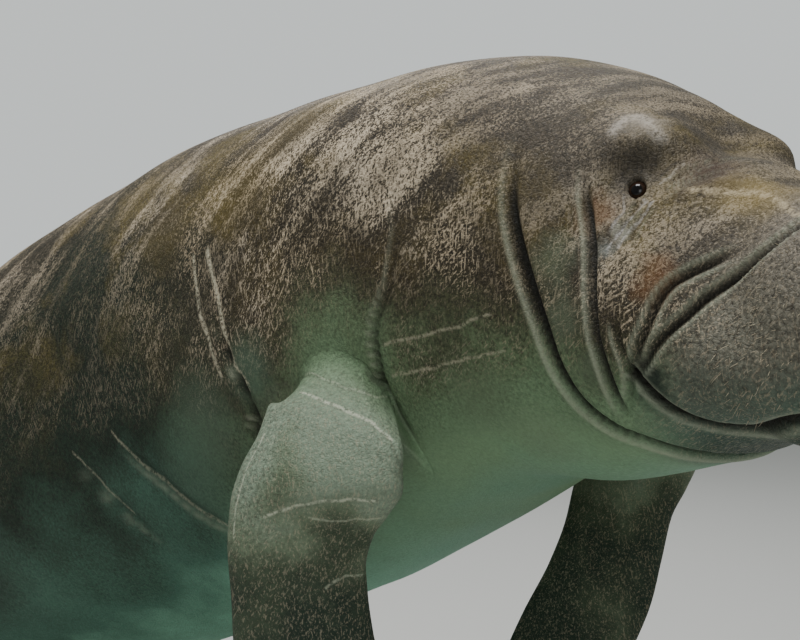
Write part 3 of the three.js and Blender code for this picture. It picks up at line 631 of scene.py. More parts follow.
def surface_normals(points, quads, fans):
    """Outward direction at each point: the sum of its faces' directions, weighted by their areas."""
    total = np.zeros_like(points)
    for faces in (*quads, *fans):
        corners = points[faces]
        facing = np.cross(corners[:, 1] - corners[:, 0], corners[:, -1] - corners[:, 0])
        for k in range(faces.shape[1]):
            np.add.at(total, faces[:, k], facing)
    return total / (np.linalg.norm(total, axis=1, keepdims=True) + 1e-12)


def add_piece(name, points, faces, material, replaced=()):
    """Put points in millimetres and faces into a smooth mesh in metres that rides on the body."""
    mesh = bpy.data.meshes.new(name)
    mesh.from_pydata((np.asarray(points) * MM).tolist(), [], faces)
    mesh.shade_smooth()
    mesh.update()
    mesh.materials.append(material)
    piece = bpy.data.objects.new(name, mesh)
    bpy.context.scene.collection.objects.link(piece)
    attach(piece, "root")
    if replaced:
        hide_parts(*replaced)
    return piece


def set_attribute(mesh, name, values):
    """Store a vector for each point of a mesh, for its material to read."""
    layer = mesh.attributes.new(name, "FLOAT_VECTOR", "POINT")
    layer.data.foreach_set("vector", np.ravel(values).astype(np.float32))


def plug(tree, made, inputs):
    """Set or link the inputs of a shader node, and give it back."""
    for socket, value in inputs.items():
        if isinstance(value, bpy.types.NodeSocket):
            tree.links.new(value, made.inputs[socket])
        else:
            made.inputs[socket].default_value = value
    return made


def add(tree, kind, inputs, **settings):
    """Add a shader node with its settings, and set or link its inputs."""
    made = tree.nodes.new("ShaderNode" + kind)
    for key, value in settings.items():
        setattr(made, key, value)
    return plug(tree, made, inputs)


class Shading:
    """Nodes of a material: each method adds to them and gives back the socket with the result."""

    def __init__(self, name):
        self.material = bpy.data.materials.new(name)
        self.material.use_nodes = True
        self.tree = self.material.node_tree

    def node(self, kind, output, inputs, **settings):
        """Any node, by its kind, and one of its outputs."""
        return add(self.tree, kind, inputs, **settings).outputs[output]

    def attribute(self, name, output="Vector"):
        """Values stored at the points of the mesh."""
        return self.node("Attribute", output, {}, attribute_name=name)

    def object_place(self):
        """Place in the object's own metres."""
        return self.node("TexCoord", "Object", {})

    def split(self, vector):
        """The three numbers of a vector."""
        return add(self.tree, "SeparateXYZ", {"Vector": vector}).outputs

    def laid(self, place, turn, size):
        """Place turned about Y and measured in a grain's own sizes."""
        return self.node("Mapping", "Vector", {"Vector": place, "Rotation": (0, turn, 0), "Scale": size},
                         vector_type="TEXTURE")

    def noise(self, place, scale, detail=2.0, roughness=0.5, output="Fac", distortion=0.0):
        """Clouds of one over scale metres."""
        return self.node("TexNoise", output, {"Vector": place, "Scale": scale, "Detail": detail,
                                              "Roughness": roughness, "Distortion": distortion})

    def remap(self, value, low, high, to_low=0.0, to_high=1.0):
        """A value carried from one range to another and held at its ends."""
        return self.node("MapRange", "Result", {"Value": value, "From Min": low, "From Max": high,
                                                "To Min": to_low, "To Max": to_high})

    def math(self, operation, *values, clamp=False):
        """Sum, product or other operation on numbers."""
        return self.node("Math", 0, dict(enumerate(values)), operation=operation, use_clamp=clamp)

    def vector(self, operation, *values):
        """Operation on vectors, which gives a number for a distance or a dot product."""
        output = "Value" if operation in ("DISTANCE", "DOT_PRODUCT") else "Vector"
        return self.node("VectorMath", output, dict(enumerate(values)), operation=operation)

    def scaled(self, vector, factor):
        """A vector or colour times a number."""
        return self.node("VectorMath", "Vector", {0: vector, "Scale": factor}, operation="SCALE")

    def mix(self, share, first, second):
        """Mix of two colours, each a socket, a linear colour or a hex colour."""
        first, second = (linear(c) if isinstance(c, str) else c for c in (first, second))
        return self.node("Mix", 2, {0: share, 6: first, 7: second}, data_type="RGBA")

    def ramp(self, value, stops):
        """Colour of a ramp with stops of (place, hex colour)."""
        made = add(self.tree, "ValToRGB", {"Fac": value})
        elements = made.color_ramp.elements
        while len(elements) < len(stops):
            elements.new(0.5)
        for element, (place, colour) in zip(elements, stops):
            element.position = place
            element.color = linear(colour)
        return made.outputs["Color"]

    def bump(self, height, distance, **inputs):
        """Direction of a surface raised by a height."""
        return self.node("Bump", "Normal", {"Height": height, "Distance": distance, **inputs})

    def line_distance(self, place, points):
        """Distance to a line of straight spans: the least of the distances to each."""
        away = None
        for a, b in zip(points, points[1:]):
            span = b - a
            start = self.vector("SUBTRACT", place, tuple(a))
            share = self.vector("DOT_PRODUCT", start, tuple(span / (span @ span)))
            share = self.node("Clamp", "Result", {"Value": share})
            near = self.vector("DISTANCE", start, self.scaled(tuple(span), share))
            away = near if away is None else self.math("MINIMUM", away, near)
        return away

    def finish(self, inputs):
        """Set or link the inputs of the material's own shader, and give back the material."""
        plug(self.tree, self.tree.nodes["Principled BSDF"], inputs)
        return self.material


# Colours from belly to back all over, on the rear flank and on the muzzle; then of a flipper from its tip to
# its root, and of the eye from the pupil outwards. In the hide's ramps the greens are painted light of the
# water, and the dark green of the rear flank, the chin and the lower flipper is painted shade
HIDE_AND_WATER_LIGHT_COLOURS = (
    (0.0, "#6c9076"), (0.2, "#738f6d"), (0.32, "#647a5c"), (0.37, "#58684c"), (0.43, "#3b3d2a"),
    (0.5, "#2f291b"), (0.66, "#2a2418"), (0.8, "#382f24"), (0.92, "#443d32"), (1.0, "#4a443a"),
)
REAR_SHADE_AND_WATER_LIGHT_COLOURS = ((0.08, "#84ba9f"), (0.26, "#3d6153"), (0.42, "#15261b"), (0.7, "#1a2115"))
MUZZLE_TONE_AND_CHIN_SHADE_COLOURS = ((0.0, "#1d3027"), (0.15, "#24372c"), (0.23, "#42564a"), (0.4, "#5c5b50"), (0.8, "#665f54"))
FLIPPER_TONE_AND_SHADE_COLOURS = ((0.2, "#1f2e22"), (0.45, "#3a4634"), (0.65, "#616e58"), (0.9, "#748370"))
EYE_COLOURS = ((0.0, "#050404"), (0.28, "#080605"), (0.33, "#2b1c12"), (0.7, "#1a120c"), (1.0, "#0d0a08"))
# Rubbed patches: lean and size. Spots and lines: how far noise moves their edges, in metres, and the share
# of their width that has full strength
RUB_TURN, RUB_SIZE = -0.86, (0.028, 0.1, 0.2)
RAGGED, WOBBLE, SPOT_CORE, LINE_CORE = 0.03, 0.004, 0.3, 0.2
# Pale grains: lean of the grain, its size across and along, where it starts and is full, how rubbing adds
PALE_GRAINS = (
    (-0.86, (0.0022, 0.0022, 0.012), 0.58, 0.64, 0.11),
    (0.05, (0.0022, 0.0022, 0.014), 0.59, 0.65, 0.09),
    (0.0, (0.002, 0.002, 0.0026), 0.59, 0.7, 0.06),
)
# Spots of other colours, some of them painted light and shade: place in the straight animal, radius, colour
# and strength. The pale ones on the brow are painted highlight, the near-black ones under the corner of the
# mouth painted shade, and the grey-green ones low on the head and flank painted green light of the water
SPOTS_AND_PAINTED_LIGHT = (
    ((240, -124, 43), 26, "#6e4a28", 0.5), ((168, -116, -14), 28, "#6e4a28", 0.55),
    ((169, -57, 77), 40, "#37271a", 0.85), ((130, -58, 58), 32, "#93804f", 0.4),
    ((103, -48, 52), 32, "#93804f", 0.35), ((245, -88, 126), 26, "#a39a8c", 0.35),
    ((225, -77, 122), 22, "#a39a8c", 0.3), ((218, -127, 9), 14, "#8f9590", 0.4),
    ((213, -116, 25), 13, "#a6a59c", 0.4), ((173, -118, -99), 24, "#131f18", 0.9),
    ((174, -102, -114), 20, "#1c2a22", 0.7), ((706, -283, 132), 80, "#6a5a24", 0.35),
    ((639, -228, 190), 70, "#625424", 0.3), ((853, -324, 125), 70, "#6a5a30", 0.25),
    ((838, -325, -128), 85, "#566a58", 0.45), ((918, -326, -166), 80, "#4b6353", 0.4),
    ((274, -147, -3), 34, "#5b6551", 0.6), ((257, -144, -53), 34, "#5b6551", 0.6),
    ((224, -134, -98), 30, "#56614d", 0.6), ((377, -152, -153), 60, "#606f56", 0.45),
    ((321, -107, -182), 50, "#66735a", 0.35), ((715, -301, -97), 56, "#566f5c", 0.5),
    ((621, -272, -94), 45, "#58674f", 0.12),
)
# Thin lines on the right side: width, strength, colour and points, (behind the muzzle, degrees up the side)
# on the body and (down the arm, degrees round it) on the arm. On the body: scars, scratches and pale
# streaks, a painted highlight along the ridge from the eye to the nose and on the brow, and a pale and a
# dark line at the eye's corner, painted highlight and shade of a wrinkle; on the arm: painted highlights
# along the edges of its folds
BODY_LINES_AND_PAINTED_LIGHT = (
    (4.6, 0.7, "#b9b29a", ((790, 12), (788, 0), (777, -6), (772, -14))),
    (5.4, 0.8, "#b9b29a", ((762, 12), (747, 1), (743, -7), (740, -14), (730, -19))),
    (2.2, 0.45, "#b9b29a", ((488, -24), (428, -24), (380, -22), (340, -17))),
    (2.2, 0.45, "#b9b29a", ((490, -32), (424, -33), (368, -31), (328, -28))),
    (2.2, 0.4, "#b9b29a", ((1048, -10), (1015, -18), (985, -24), (955, -32), (925, -39))),
    (2, 0.35, "#b9b29a", ((1150, -8), (1120, -16), (1090, -25))),
    (1.8, 0.6, "#b3aa9b", ((204, 48), (198, 54), (194, 60))),
    (1.8, 0.65, "#2b2620", ((210, 48), (203, 54), (198, 59))),
    (2.4, 0.45, "#bbb8b6", ((205, 39), (213, 30), (221, 15))),
    (2.2, 0.38, "#bbb8b6", ((200, 40), (203, 31), (211, 17))),
    (2, 0.3, "#bbb8b6", ((226, 40), (220, 31), (224, 24))),
    (6.5, 0.6, "#c2b292", ((168, 49), (151, 52), (132, 57), (117, 60), (97, 57), (74, 49))),
    (10, 0.38, "#cdc5b9", ((256, 54), (255, 59), (249, 62), (233, 62), (217, 60))),
)
ARM_HIGHLIGHT_LINES = (
    (2.8, 0.75, "#c3c6b0", ((77, 114), (85, 93), (90, 68), (91, 42), (99, 21))),
    (2.4, 0.4, "#b4b9a2", ((23, 120), (51, 88), (57, 64), (48, 44), (16, 17))),
    (2.5, 0.65, "#c3c6b0", ((217, 113), (205, 100), (195, 88), (184, 74), (170, 52), (164, 30))),
    (2.2, 0.45, "#b4b9a2", ((205, 78), (204, 61), (194, 42), (186, 15))),
    (2.6, 0.5, "#b4b9a2", ((282, 63), (274, 54), (267, 42), (268, 16))),
    (3.4, 0.6, "#c3c6b0", ((143, 143), (166, 147), (193, 146), (220, 150), (244, 149))),
)


def hide_material(settings):
    """Wet wrinkled hide: leathery, grey-brown above and olive below, with pale scrapes and specks; its green
    underside is painted light of the water, and it has painted shade and highlights in folds, hollows and
    low parts.

    The patterns lie in the straight animal, so that they follow the body round its bends.
    """
    hide = Shading("wet manatee hide")
    math, mix, noise, ramp, remap = hide.math, hide.mix, hide.noise, hide.ramp, hide.remap
    rest, chart, zones, marks = map(hide.attribute, ("rest", "chart", "zones", "marks"))
    height, muzzle, arm = hide.split(zones)
    crease, rim, socket = hide.split(marks)
    behind, _, upward = hide.split(rest)

    # Broad colour: from belly to back, carried up and down by soft clouds; the pale green of the belly and
    # lower side is painted light of the water
    broad = noise(rest, 5.5, 5.0, 0.55)
    head = remap(behind, 0.55, 0.3)
    level = math("ADD", remap(broad, 0.3, 0.7, -0.08, 0.08), height)
    level = math("MULTIPLY_ADD", head, 0.05, level)
    cloud = noise(rest, 13.0, 3.0)
    colour = ramp(level, HIDE_AND_WATER_LIGHT_COLOURS)

    # Darker and greener flank behind the arms, below the back, as painted shade, with painted green water
    # light on the belly below it; paler grey top of the head
    rear = math("MULTIPLY", remap(behind, 0.68, 0.98), remap(level, 0.84, 0.62, 0.0, 0.92))
    colour = mix(rear, colour, ramp(level, REAR_SHADE_AND_WATER_LIGHT_COLOURS))
    crown = math("MULTIPLY", head, remap(level, 0.48, 0.7, 0.0, 0.8))
    colour = mix(crown, colour, "#453f35")

    # Paler green upper arm, darkening down the flipper, and grey muzzle, darker and greener to the chin:
    # painted shade and green light of the water
    down = math("MULTIPLY_ADD", cloud, 1.7, remap(upward, -0.36, -0.22))
    colour = mix(arm, colour, ramp(remap(down, 0.5, 1.9), FLIPPER_TONE_AND_SHADE_COLOURS))
    colour = mix(muzzle, colour, ramp(level, MUZZLE_TONE_AND_CHIN_SHADE_COLOURS))

    # Olive film of algae in patches on the upper side
    film = remap(noise(rest, 8.0, 4.0, 0.6, distortion=0.4), 0.5, 0.66, 0.0, 0.65)
    upper = math("SUBTRACT", remap(level, 0.42, 0.66), muzzle, clamp=True)
    colour = mix(math("MULTIPLY", film, upper), colour, "#5b4f26")

    # Fine mottling, 4 mm across, lighter and darker than the broad colour, weak on the smooth underside
    mottled = hide.scaled(colour, remap(noise(rest, 260.0, 2.0, 0.6), 0.32, 0.68, 0.5, 1.6))
    rugged = remap(level, 0.25, 0.45, 0.2, 1.0)
    colour = mix(math("MULTIPLY_ADD", crown, -0.35, rugged), colour, mottled)

    # Rubbed patches where pale specks lie thick: clouds drawn out forwards and up
    rub = remap(noise(hide.laid(rest, RUB_TURN, RUB_SIZE), 1.0, 4.0, 0.6), 0.42, 0.62)
    rub = math("MULTIPLY", rub, upper)

    # Pale scrapes in three grains: leaning forwards, upright, and round specks
    pale = None
    for turn, size, least, most, thick in PALE_GRAINS:
        grain = noise(hide.laid(rest, turn, size), 1.0, 3.0, 0.6)
        grain = remap(math("MULTIPLY_ADD", rub, thick, grain), least, most)
        pale = grain if pale is None else math("MAXIMUM", pale, grain)
    shown = remap(level, 0.33, 0.47, 0.06, 0.9)
    shown = math("MULTIPLY_ADD", crown, -0.68, shown)
    shown = math("MULTIPLY_ADD", rear, -0.68, shown, clamp=True)
    bare = math("MULTIPLY_ADD", rub, 0.5, remap(cloud, 0.42, 0.58, 0.2, 0.75))
    stippled = math("MULTIPLY", math("MAXIMUM", arm, muzzle), 0.27)
    shown = math("MAXIMUM", math("MULTIPLY", shown, bare), stippled)
    tint = mix(broad, "#b59d74", "#cdc2b0")
    colour = mix(math("MULTIPLY", pale, shown), colour, tint)

    # Dark pits between the specks
    pits = noise(rest, 240.0, 3.0, 0.6)
    dark = math("MULTIPLY", remap(pits, 0.46, 0.34, 0.0, 0.6), rugged)
    colour = mix(dark, colour, "#29231a")

    # Rusty, golden, pale and dark spots with ragged edges, among them painted highlight, shade and green
    # water light
    ragged = noise(rest, 70.0, 4.0, output="Color")
    ragged = hide.vector("MULTIPLY_ADD", ragged, (RAGGED,) * 3, rest)
    for place, radius, shade, strength in SPOTS_AND_PAINTED_LIGHT:
        away = hide.vector("DISTANCE", ragged, tuple(v * MM + RAGGED / 2 for v in place))
        spot = remap(away, radius * MM, SPOT_CORE * radius * MM, 0.0, strength)
        colour = mix(spot, colour, shade)

    # Scars, scratches, painted light and shade of fine wrinkles, and painted highlights on ridges and fold
    # edges: thin broken lines of short straight spans in the charts
    wobble = noise(chart, 60.0, output="Color")
    shaken = hide.vector("MULTIPLY_ADD", wobble, (WOBBLE, WOBBLE, 0), chart)
    broken = remap(pits, 0.38, 0.54, 0.1)
    for layer, degree, lines in ((1, DEGREE_LENGTH, BODY_LINES_AND_PAINTED_LIGHT), (2, ARM_DEGREE_LENGTH, ARM_HIGHLIGHT_LINES)):
        for width, strength, shade, line in lines:
            points = [np.array((a, b * degree, -layer * OTHER_SIDE)) * MM for a, b in line]
            away = hide.line_distance(shaken, points)
            mark = remap(away, width * MM, LINE_CORE * width * MM, 0.0, strength)
            colour = mix(math("MULTIPLY", mark, broken), colour, shade)

    # Eye socket darkened by its own dark skin and by painted shade of its hollow, painted highlights on the
    # rims beside the creases, and painted shade in the creases
    colour = mix(math("MULTIPLY", socket, 0.76), colour, "#282520")
    colour = mix(math("MULTIPLY", rim, 0.55), colour, "#9a9f8a")
    colour = mix(crease, colour, "#1b1a14")

    # Leather grain of small plates and cracks, finer pebbling over it
    plates = hide.node("TexVoronoi", "Distance", {"Vector": rest, "Scale": 260.0},
                       feature="DISTANCE_TO_EDGE")
    fine = noise(rest, 210.0, 5.0, 0.65)
    relief = math("MULTIPLY_ADD", remap(plates, 0.0, 0.2), 0.3, fine)
    return hide.finish({
        "Base Color": colour, "Normal": hide.bump(relief, settings.grain_depth, Strength=0.9),
        "Roughness": remap(fine, 0.3, 0.7, 0.5, 0.75), "IOR": 1.4, "Specular IOR Level": 0.35,
    })


def eye_material():
    """Dark brown eye under a wet cornea: a black pupil in a brown iris, glossy."""
    eye = Shading("wet dark eye")
    colour = eye.ramp(eye.attribute("gaze", "Fac"), EYE_COLOURS)
    return eye.finish({"Base Color": colour, "Roughness": 0.08, "IOR": 1.38})


def nail_material():
    """Horn: layered keratin, pale and yellowish, with growth lines across the nail."""
    horn = Shading("worn horn")
    lines = horn.node("TexWave", "Fac", {"Vector": horn.object_place(), "Scale": 160.0, "Distortion": 3.0,
                                         "Detail": 2.0})
    return horn.finish({
        "Base Color": horn.ramp(lines, ((0.0, "#8a7b62"), (1.0, "#b9ab90"))),
        "Normal": horn.bump(lines, 0.0003), "Roughness": 0.45,
    })


def bristle_material():
    """Keratin bristles: short, stiff and pale straw."""
    straw = Shading("straw bristle")
    tint = straw.ramp(straw.noise(straw.object_place(), 60.0), ((0.35, "#857a64"), (0.65, "#b4a98f")))
    return straw.finish({"Base Color": tint, "Roughness": 0.4})


def paint_material():
    """Powder coat on steel: matt dark grey with a fine orange-peel surface."""
    coat = Shading("dark grey powder coat")
    peel = coat.noise(coat.object_place(), 700.0)
    return coat.finish({
        "Base Color": coat.ramp(peel, ((0.3, "#37393b"), (0.7, "#424547"))),
        "Normal": coat.bump(peel, 0.0002), "Roughness": 0.55,
    })


def floor_material(colour):
    """Matt pale studio floor with a faint cloudiness."""
    floor = Shading("matt studio floor")
    tint = floor.remap(floor.noise(floor.object_place(), 0.8), 0.0, 1.0, 0.0, 0.08)
    shade = floor.mix(tint, (*colour[:3], 1), "#b9b7b2")
    return floor.finish({"Base Color": shade, "Roughness": 0.9})


class ManateeSkinSettings(bpy.types.PropertyGroup):
    grain_depth: bpy.props.FloatProperty(
        name="Grain depth", description="Depth of the leathery grain", default=0.0016, unit="LENGTH")


class ManateeBristleSettings(bpy.types.PropertyGroup):
    count: bpy.props.IntProperty(
        name="Bristles", description="Number of bristles on the lip pads", default=900, subtype="UNSIGNED")
    seed: bpy.props.IntProperty(
        name="Seed", description="Seed of the random draw", default=7, subtype="UNSIGNED")


class ManateeStageSettings(bpy.types.PropertyGroup):
    camera_place: bpy.props.FloatVectorProperty(
        name="Camera place", description="Where the camera stands", size=3, unit="LENGTH",
        default=tuple(((ORIGIN + CAMERA_FROM_ORIGIN) * MM).tolist()))
    camera_turn: bpy.props.FloatProperty(
        name="Camera turn", description="Turn of the view to the left of +Y", subtype="ANGLE",
        default=float(np.radians(CAMERA_TURN)))
    camera_lens: bpy.props.FloatProperty(
        name="Lens", description="Focal length on the sensor", default=45.0, unit="CAMERA")
    floor_colour: bpy.props.FloatVectorProperty(
        name="Floor colour", description="Pale colour of the studio floor", size=4, subtype="COLOR",
        default=linear("#d6d6d2"))


class MANATEE_OT_stage(bpy.types.Operator):
    """Camera at the photograph's angle, pale floor and soft light"""

    bl_idname = "manatee.stage"
    bl_label = "Stage"

    def execute(self, context):
        settings = context.scene.manatee_stage
        scene = context.scene
        lens = bpy.data.cameras.new("camera")
        lens.lens, lens.sensor_width, lens.sensor_fit = settings.camera_lens, SENSOR_WIDTH, "HORIZONTAL"
        camera = bpy.data.objects.new("camera", lens)
        camera.location = settings.camera_place
        camera.rotation_euler = (np.pi / 2, 0, settings.camera_turn)
        scene.collection.objects.link(camera)
        scene.camera = camera
        mesh = bpy.data.meshes.new("floor")
        corners = [(x * FLOOR_HALF, y * FLOOR_HALF, 0) for x, y in ((-1, -1), (1, -1), (1, 1), (-1, 1))]
        mesh.from_pydata(corners, [], [(0, 1, 2, 3)])
        mesh.materials.append(floor_material(settings.floor_colour))
        floor = bpy.data.objects.new("floor", mesh)
        scene.collection.objects.link(floor)
        world = bpy.data.worlds.new("studio")
        world.use_nodes = True
        tree = world.node_tree
        seen = add(tree, "LightPath", {}).outputs["Is Camera Ray"]
        strength = add(tree, "MapRange", {"Value": seen, "To Min": LIT_STRENGTH, "To Max": SEEN_STRENGTH})
        tree.nodes["Background"].inputs["Color"].default_value = linear("#e3e8e7")
        tree.links.new(strength.outputs["Result"], tree.nodes["Background"].inputs["Strength"])
        scene.world = world
        for name, (place, power, size) in LAMPS.items():
            light = bpy.data.lights.new(name, "AREA")
            light.energy, light.size = power, size
            lamp = bpy.data.objects.new(name, light)
            lamp.location = place
            aim = np.array(LAMP_AIM) - place
            lamp.rotation_euler = (float(np.arctan2(np.hypot(aim[0], aim[1]), -aim[2])), 0,
                                   float(np.arctan2(aim[1], aim[0]) - np.pi / 2))
            scene.collection.objects.link(lamp)
        return {"FINISHED"}


class MANATEE_OT_skin(bpy.types.Operator):
    """One skin over the whole animal, with folds, lids, lips and nostrils"""

    bl_idname = "manatee.skin"
    bl_label = "Skin"

    def execute(self, context):
        grid = SkinGrid()
        points, rest = np.vstack(grid.points), np.vstack(grid.rest)
        arm, marks, arm_chart = np.concatenate(grid.arm), np.vstack(grid.marks), np.vstack(grid.arm_chart)
        on_arm = arm_marks(arm_chart)
        points += on_arm[:, :1] * surface_normals(points, grid.quads, grid.fans)
        faces = [f for group in (*grid.quads, *grid.fans) for f in group.tolist()]
        skin = add_piece("skin", points, faces, hide_material(context.scene.manatee_skin),
                         ("head", "neck", "thorax", "abdomen", "tail_stock", "tail_paddle",
                          "flipper_right", "flipper_left"))
        s, y, z = rest.T
        degrees = side_degrees(rest)
        muzzle = smooth((MUZZLE_END - s - MUZZLE_SLANT * z) / MUZZLE_EASE) * (1 - arm)
        # Eye socket: its own dark skin, and painted shade in its hollow
        socket = ((s - HOLLOW_S) / SOCKET_LENGTH) ** 2 + ((z - HOLLOW_Z) / SOCKET_HEIGHT) ** 2
        socket = np.exp(-socket ** SOCKET_EDGE) * (np.abs(y) > SOCKET_OUT)
        # Painted shade in the creases of the folds, darker for deeper ones
        crease = smooth(-(marks[:, 0] + on_arm[:, 0]) / CREASE_SHADE_DEPTH)
        # Painted highlight on the rims beside the folds of body and arms
        rim = np.maximum(marks[:, 1], on_arm[:, 1])
        set_attribute(skin.data, "rest", rest * MM)
        chart = np.stack([s, degrees * DEGREE_LENGTH, np.sign(y) * OTHER_SIDE], -1)
        chart[arm > 0] = np.column_stack([arm_chart, 2 * np.sign(y) * OTHER_SIDE])[arm > 0]
        set_attribute(skin.data, "chart", chart * MM)
        set_attribute(skin.data, "zones", np.stack([0.5 + degrees / 180, muzzle, arm], -1))
        set_attribute(skin.data, "marks", np.stack([crease, rim, socket], -1))
        return {"FINISHED"}


def ball(rings, steps):
    """Points of a unit ball as angles from its pole and round it, pole to pole, and its faces."""
    index = 1 + np.arange((rings - 1) * steps).reshape(rings - 1, steps)
    polar = np.r_[0, np.repeat(np.pi * np.arange(1, rings) / rings, steps), np.pi]
    turn = np.r_[0, np.tile(2 * np.pi * np.arange(steps) / steps, rings - 1), 0]
    ahead = np.roll(index, -1, axis=1)
    quads = np.stack([index[:-1], index[1:], ahead[1:], ahead[:-1]], -1).reshape(-1, 4)
    near = np.stack([np.zeros(steps, int), index[0], ahead[0]], -1)
    far = np.stack([np.full(steps, len(polar) - 1), ahead[-1], index[-1]], -1)
    return polar, turn, quads.tolist() + near.tolist() + far.tolist()


class MANATEE_OT_eyes(bpy.types.Operator):
    """Small dark eyes deep in their lids"""

    bl_idname = "manatee.eyes"
    bl_label = "Eyes"

    def execute(self, context):
        material = eye_material()
        n = flesh_normal(EYE_POINT)
        polar, turn, faces = ball(BALL_RINGS, EYE_STEPS)
        for name, side in (("right", -1), ("left", 1)):
            mirror = np.array([1, side, 1])
            centre = posed((EYE_POINT - n * EYE_DEPTH) * mirror)
            look = posed((EYE_POINT - n * (EYE_DEPTH - 1)) * mirror) - centre
            across = np.cross(look, (0, 0, 1))
            across /= np.linalg.norm(across)
            upward = np.cross(across, look)
            bulge = EYE_RADIUS * (1 + CORNEA_BULGE * smooth((CORNEA_REACH - polar) / CORNEA_EASE))
            outward = np.outer(np.cos(turn), across) + np.outer(np.sin(turn), upward)
            outward = np.outer(np.cos(polar), look) + np.sin(polar)[:, None] * outward
            points = centre + bulge[:, None] * outward
            eye = add_piece(f"eyeball_{name}", points, faces, material, (f"eye_{name}",))
            set_attribute(eye.data, "gaze", np.minimum(2 * polar / np.pi, 1)[:, None] * np.ones(3))
        return {"FINISHED"}


def bristle_mesh(roots, tips, bends, radii):
    """Tapered bristles: rings of four points on a parabola from each root to its tip, closed at the tip."""
    rings, sides = 4, 4
    t = (np.arange(rings) / rings)[:, None, None]
    spine = roots + (tips - roots) * t + bends * t * (1 - t)
    along = (tips - roots) / np.linalg.norm(tips - roots, axis=1, keepdims=True)
    across = np.cross(along, (0.3, 0.5, 0.8))
    across /= np.linalg.norm(across, axis=1, keepdims=True)
    upward = np.cross(along, across)
    a = 2 * np.pi * np.arange(sides) / sides
    circle = np.cos(a)[:, None, None] * across + np.sin(a)[:, None, None] * upward
    body = spine[:, None] + circle * radii * (1 - 0.75 * t[:, None])
    count = len(roots)
    points = np.vstack([body.reshape(-1, 3), tips, roots])
    index = np.arange(rings * sides * count).reshape(rings, sides, count)
    ahead = np.roll(index, -1, axis=1)
    quads = np.stack([index[:-1], ahead[:-1], ahead[1:], index[1:]], -1).reshape(-1, 4)
    tip = np.broadcast_to(rings * sides * count + np.arange(count), (sides, count))
    caps = np.stack([index[-1], ahead[-1], tip], -1).reshape(-1, 3)
    feet = np.stack([ahead[0], index[0], tip + count], -1).reshape(-1, 3)
    return points, quads.tolist() + caps.tolist() + feet.tolist()


class MANATEE_OT_bristles(bpy.types.Operator):
    """Short stiff bristles over the lip pads, longer towards the corners of the mouth"""

    bl_idname = "manatee.bristles"
    bl_label = "Bristles"

    def execute(self, context):
        settings = context.scene.manatee_bristles
        draw = np.random.default_rng(settings.seed)
        place = draw.uniform(0.12, 1.0, settings.count * PAD_DRAWS)
        angle = draw.uniform(0, 2 * np.pi, settings.count * PAD_DRAWS)
        p, n, marks = skin_point(place, angle)
        line = spline(FOLDS["mouth"][-1])
        mouth = np.interp(p[:, 0], line[::-1, 0], line[::-1, 1])
        crease = spline(FOLDS["lip pad crease"][-1])
        top = np.interp(p[:, 0], crease[::-1, 0], crease[::-1, 1])
        on_pad = (p[:, 2] > mouth + PAD_CLEAR) & (p[:, 2] < top - PAD_CLEAR)
        keep = np.flatnonzero(on_pad & (marks[:, 0] > PAD_GROOVE))[:settings.count]
        p, n = p[keep], n[keep]
        low = smooth((top[keep] - p[:, 2]) / PAD_HEIGHT) * smooth((p[:, 0] - PAD_FRONT) / PAD_HEIGHT)
        length = draw.uniform(*BRISTLE_LENGTH, len(p)) + low * draw.uniform(0, BRISTLE_LONGER, len(p))
        lean = n + np.stack([-0.1 + 0.7 * low, 0 * low, -0.35 - 0.5 * low], -1)
        lean += draw.normal(0, 0.25, p.shape)
        lean /= np.linalg.norm(lean, axis=1, keepdims=True)
        roots, tips = posed(p - BRISTLE_ROOT * n), posed(p + lean * length[:, None])
        bends = (posed(p + 3 * n) - posed(p)) * (length[:, None] / 9)
        points, faces = bristle_mesh(roots, tips, bends, draw.uniform(*BRISTLE_RADIUS, (len(p), 1)))
        add_piece("bristles", points, faces, bristle_material())
        return {"FINISHED"}


class MANATEE_OT_nails(bpy.types.Operator):
    """Flat oval nails on the rim of each flipper"""

    bl_idname = "manatee.nails"
    bl_label = "Nails"

    def execute(self, context):
        material = nail_material()
        polar, turn, faces = ball(BALL_RINGS, NAIL_STEPS)
        width, thickness, long = np.array(NAIL_SIZE) / 2
        for name, (side, _, _) in FLIPPERS.items():
            centre, axis, chord, out, length, thick = flipper_section(name, NAIL_SECTION)
            for k, place in enumerate(NAIL_PLACES):
                middle = (centre + chord * length * place + out * thick * np.sqrt(1 - place ** 2)
                          + axis * NAIL_DROP * (1 - abs(place)))
                flat = thickness * (1 - NAIL_TAPER * np.cos(polar))
                points = (middle + np.outer(np.cos(polar) * long, axis)
                          + np.outer(np.sin(polar) * np.cos(turn) * width, side * chord)
                          + np.outer(np.sin(polar) * np.sin(turn) * flat, out))
                node = f"nail_{name}_{k + 1}"
                add_piece(f"{node}_horn", points, faces, material, (node,))
        return {"FINISHED"}


def node_box(name):
    """Lowest and highest corner of a CAD node in millimetres."""
    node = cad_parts[name]
    corners = np.array(node.bound_box) @ np.array(node.matrix_world)[:3, :3].T
    corners += np.array(node.matrix_world.translation)
    return corners.min(0) / MM, corners.max(0) / MM


def level_ring(outline, height):
    """Points of a flat outline at one height."""
    return np.column_stack([outline, np.full(len(outline), height)])


def add_stack(name, rings, material, node):
    """A piece of level rings stacked upwards, each anticlockwise from above, closed at both ends."""
    index = np.arange(len(rings) * len(rings[0])).reshape(len(rings), -1)
    ahead = np.roll(index, -1, axis=1)
    quads = np.stack([index[:-1], ahead[:-1], ahead[1:], index[1:]], -1).reshape(-1, 4)
    faces = [*quads.tolist(), index[0, ::-1].tolist(), index[-1].tolist()]
    return add_piece(name, np.vstack(rings), faces, material, (node,))


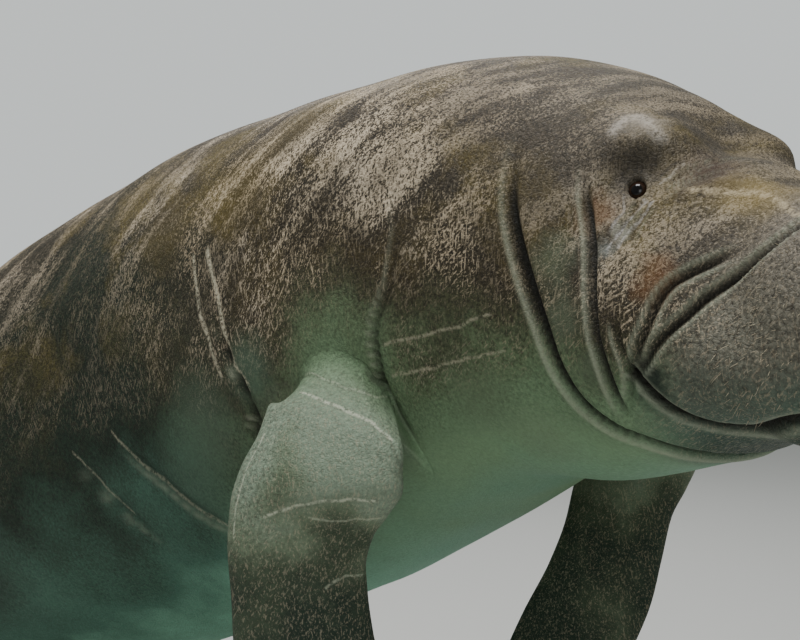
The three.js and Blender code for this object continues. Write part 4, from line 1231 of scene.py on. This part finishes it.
class MANATEE_OT_stand(bpy.types.Operator):
    """Powder-coated base and rods of the display stand"""

    bl_idname = "manatee.stand"
    bl_label = "Stand"

    def execute(self, context):
        material = paint_material()
        low, high = node_box("stand_base")
        middle, half = (low + high) / 2, (high - low) / 2
        turn = np.radians(np.arange(0, 360, ROUND_STEP) + ROUND_STEP / 2)
        corner = np.stack([np.cos(turn), np.sin(turn)], -1)
        inner = np.sign(corner) * (half[:2] - BASE_CORNER)
        bend = np.radians(np.arange(0, 90 + BEND_STEP, BEND_STEP))
        insets = np.r_[0, BASE_EDGE * (1 - np.cos(bend))]
        heights = np.r_[low[2], high[2] - BASE_EDGE * (1 - np.sin(bend))]
        rings = [level_ring(middle[:2] + inner + corner * (BASE_CORNER - inset), z)
                 for inset, z in zip(insets, heights)]
        add_stack("base_plate", rings, material, "stand_base")
        for name in ("front", "rear"):
            low, high = node_box(f"stand_rod_{name}")
            middle, radius = (low + high) / 2, (high[0] - low[0]) / 2
            radii = radius + np.r_[ROD_WELD * (1 - np.sin(bend)), 0]
            heights = np.r_[low[2] + ROD_WELD * (1 - np.cos(bend)), high[2]]
            rings = [level_ring(middle[:2] + corner * r, z) for r, z in zip(radii, heights)]
            add_stack(f"rod_{name}", rings, material, f"stand_rod_{name}")
        return {"FINISHED"}


class MANATEE_PT_panel(bpy.types.Panel):
    bl_label = "Manatee"
    bl_space_type = "VIEW_3D"
    bl_region_type = "UI"
    bl_category = "Manatee"

    def draw(self, context):
        for operator in OPERATORS:
            self.layout.operator(operator.bl_idname)


OPERATORS = (MANATEE_OT_stage, MANATEE_OT_skin, MANATEE_OT_eyes, MANATEE_OT_bristles, MANATEE_OT_nails,
             MANATEE_OT_stand)
SETTINGS = {
    "manatee_skin": ManateeSkinSettings, "manatee_bristles": ManateeBristleSettings,
    "manatee_stage": ManateeStageSettings,
}


def register():
    for item in (*SETTINGS.values(), *OPERATORS, MANATEE_PT_panel):
        bpy.utils.register_class(item)
    for name, group in SETTINGS.items():
        setattr(bpy.types.Scene, name, bpy.props.PointerProperty(type=group))


def unregister():
    for name in SETTINGS:
        delattr(bpy.types.Scene, name)
    for item in reversed((*SETTINGS.values(), *OPERATORS, MANATEE_PT_panel)):
        bpy.utils.unregister_class(item)


def main():
    """Build every piece in order."""
    register()
    bpy.ops.manatee.stage()
    bpy.ops.manatee.skin()
    bpy.ops.manatee.eyes()
    bpy.ops.manatee.bristles()
    bpy.ops.manatee.nails()
    bpy.ops.manatee.stand()


if __name__ == "__main__":
    main()
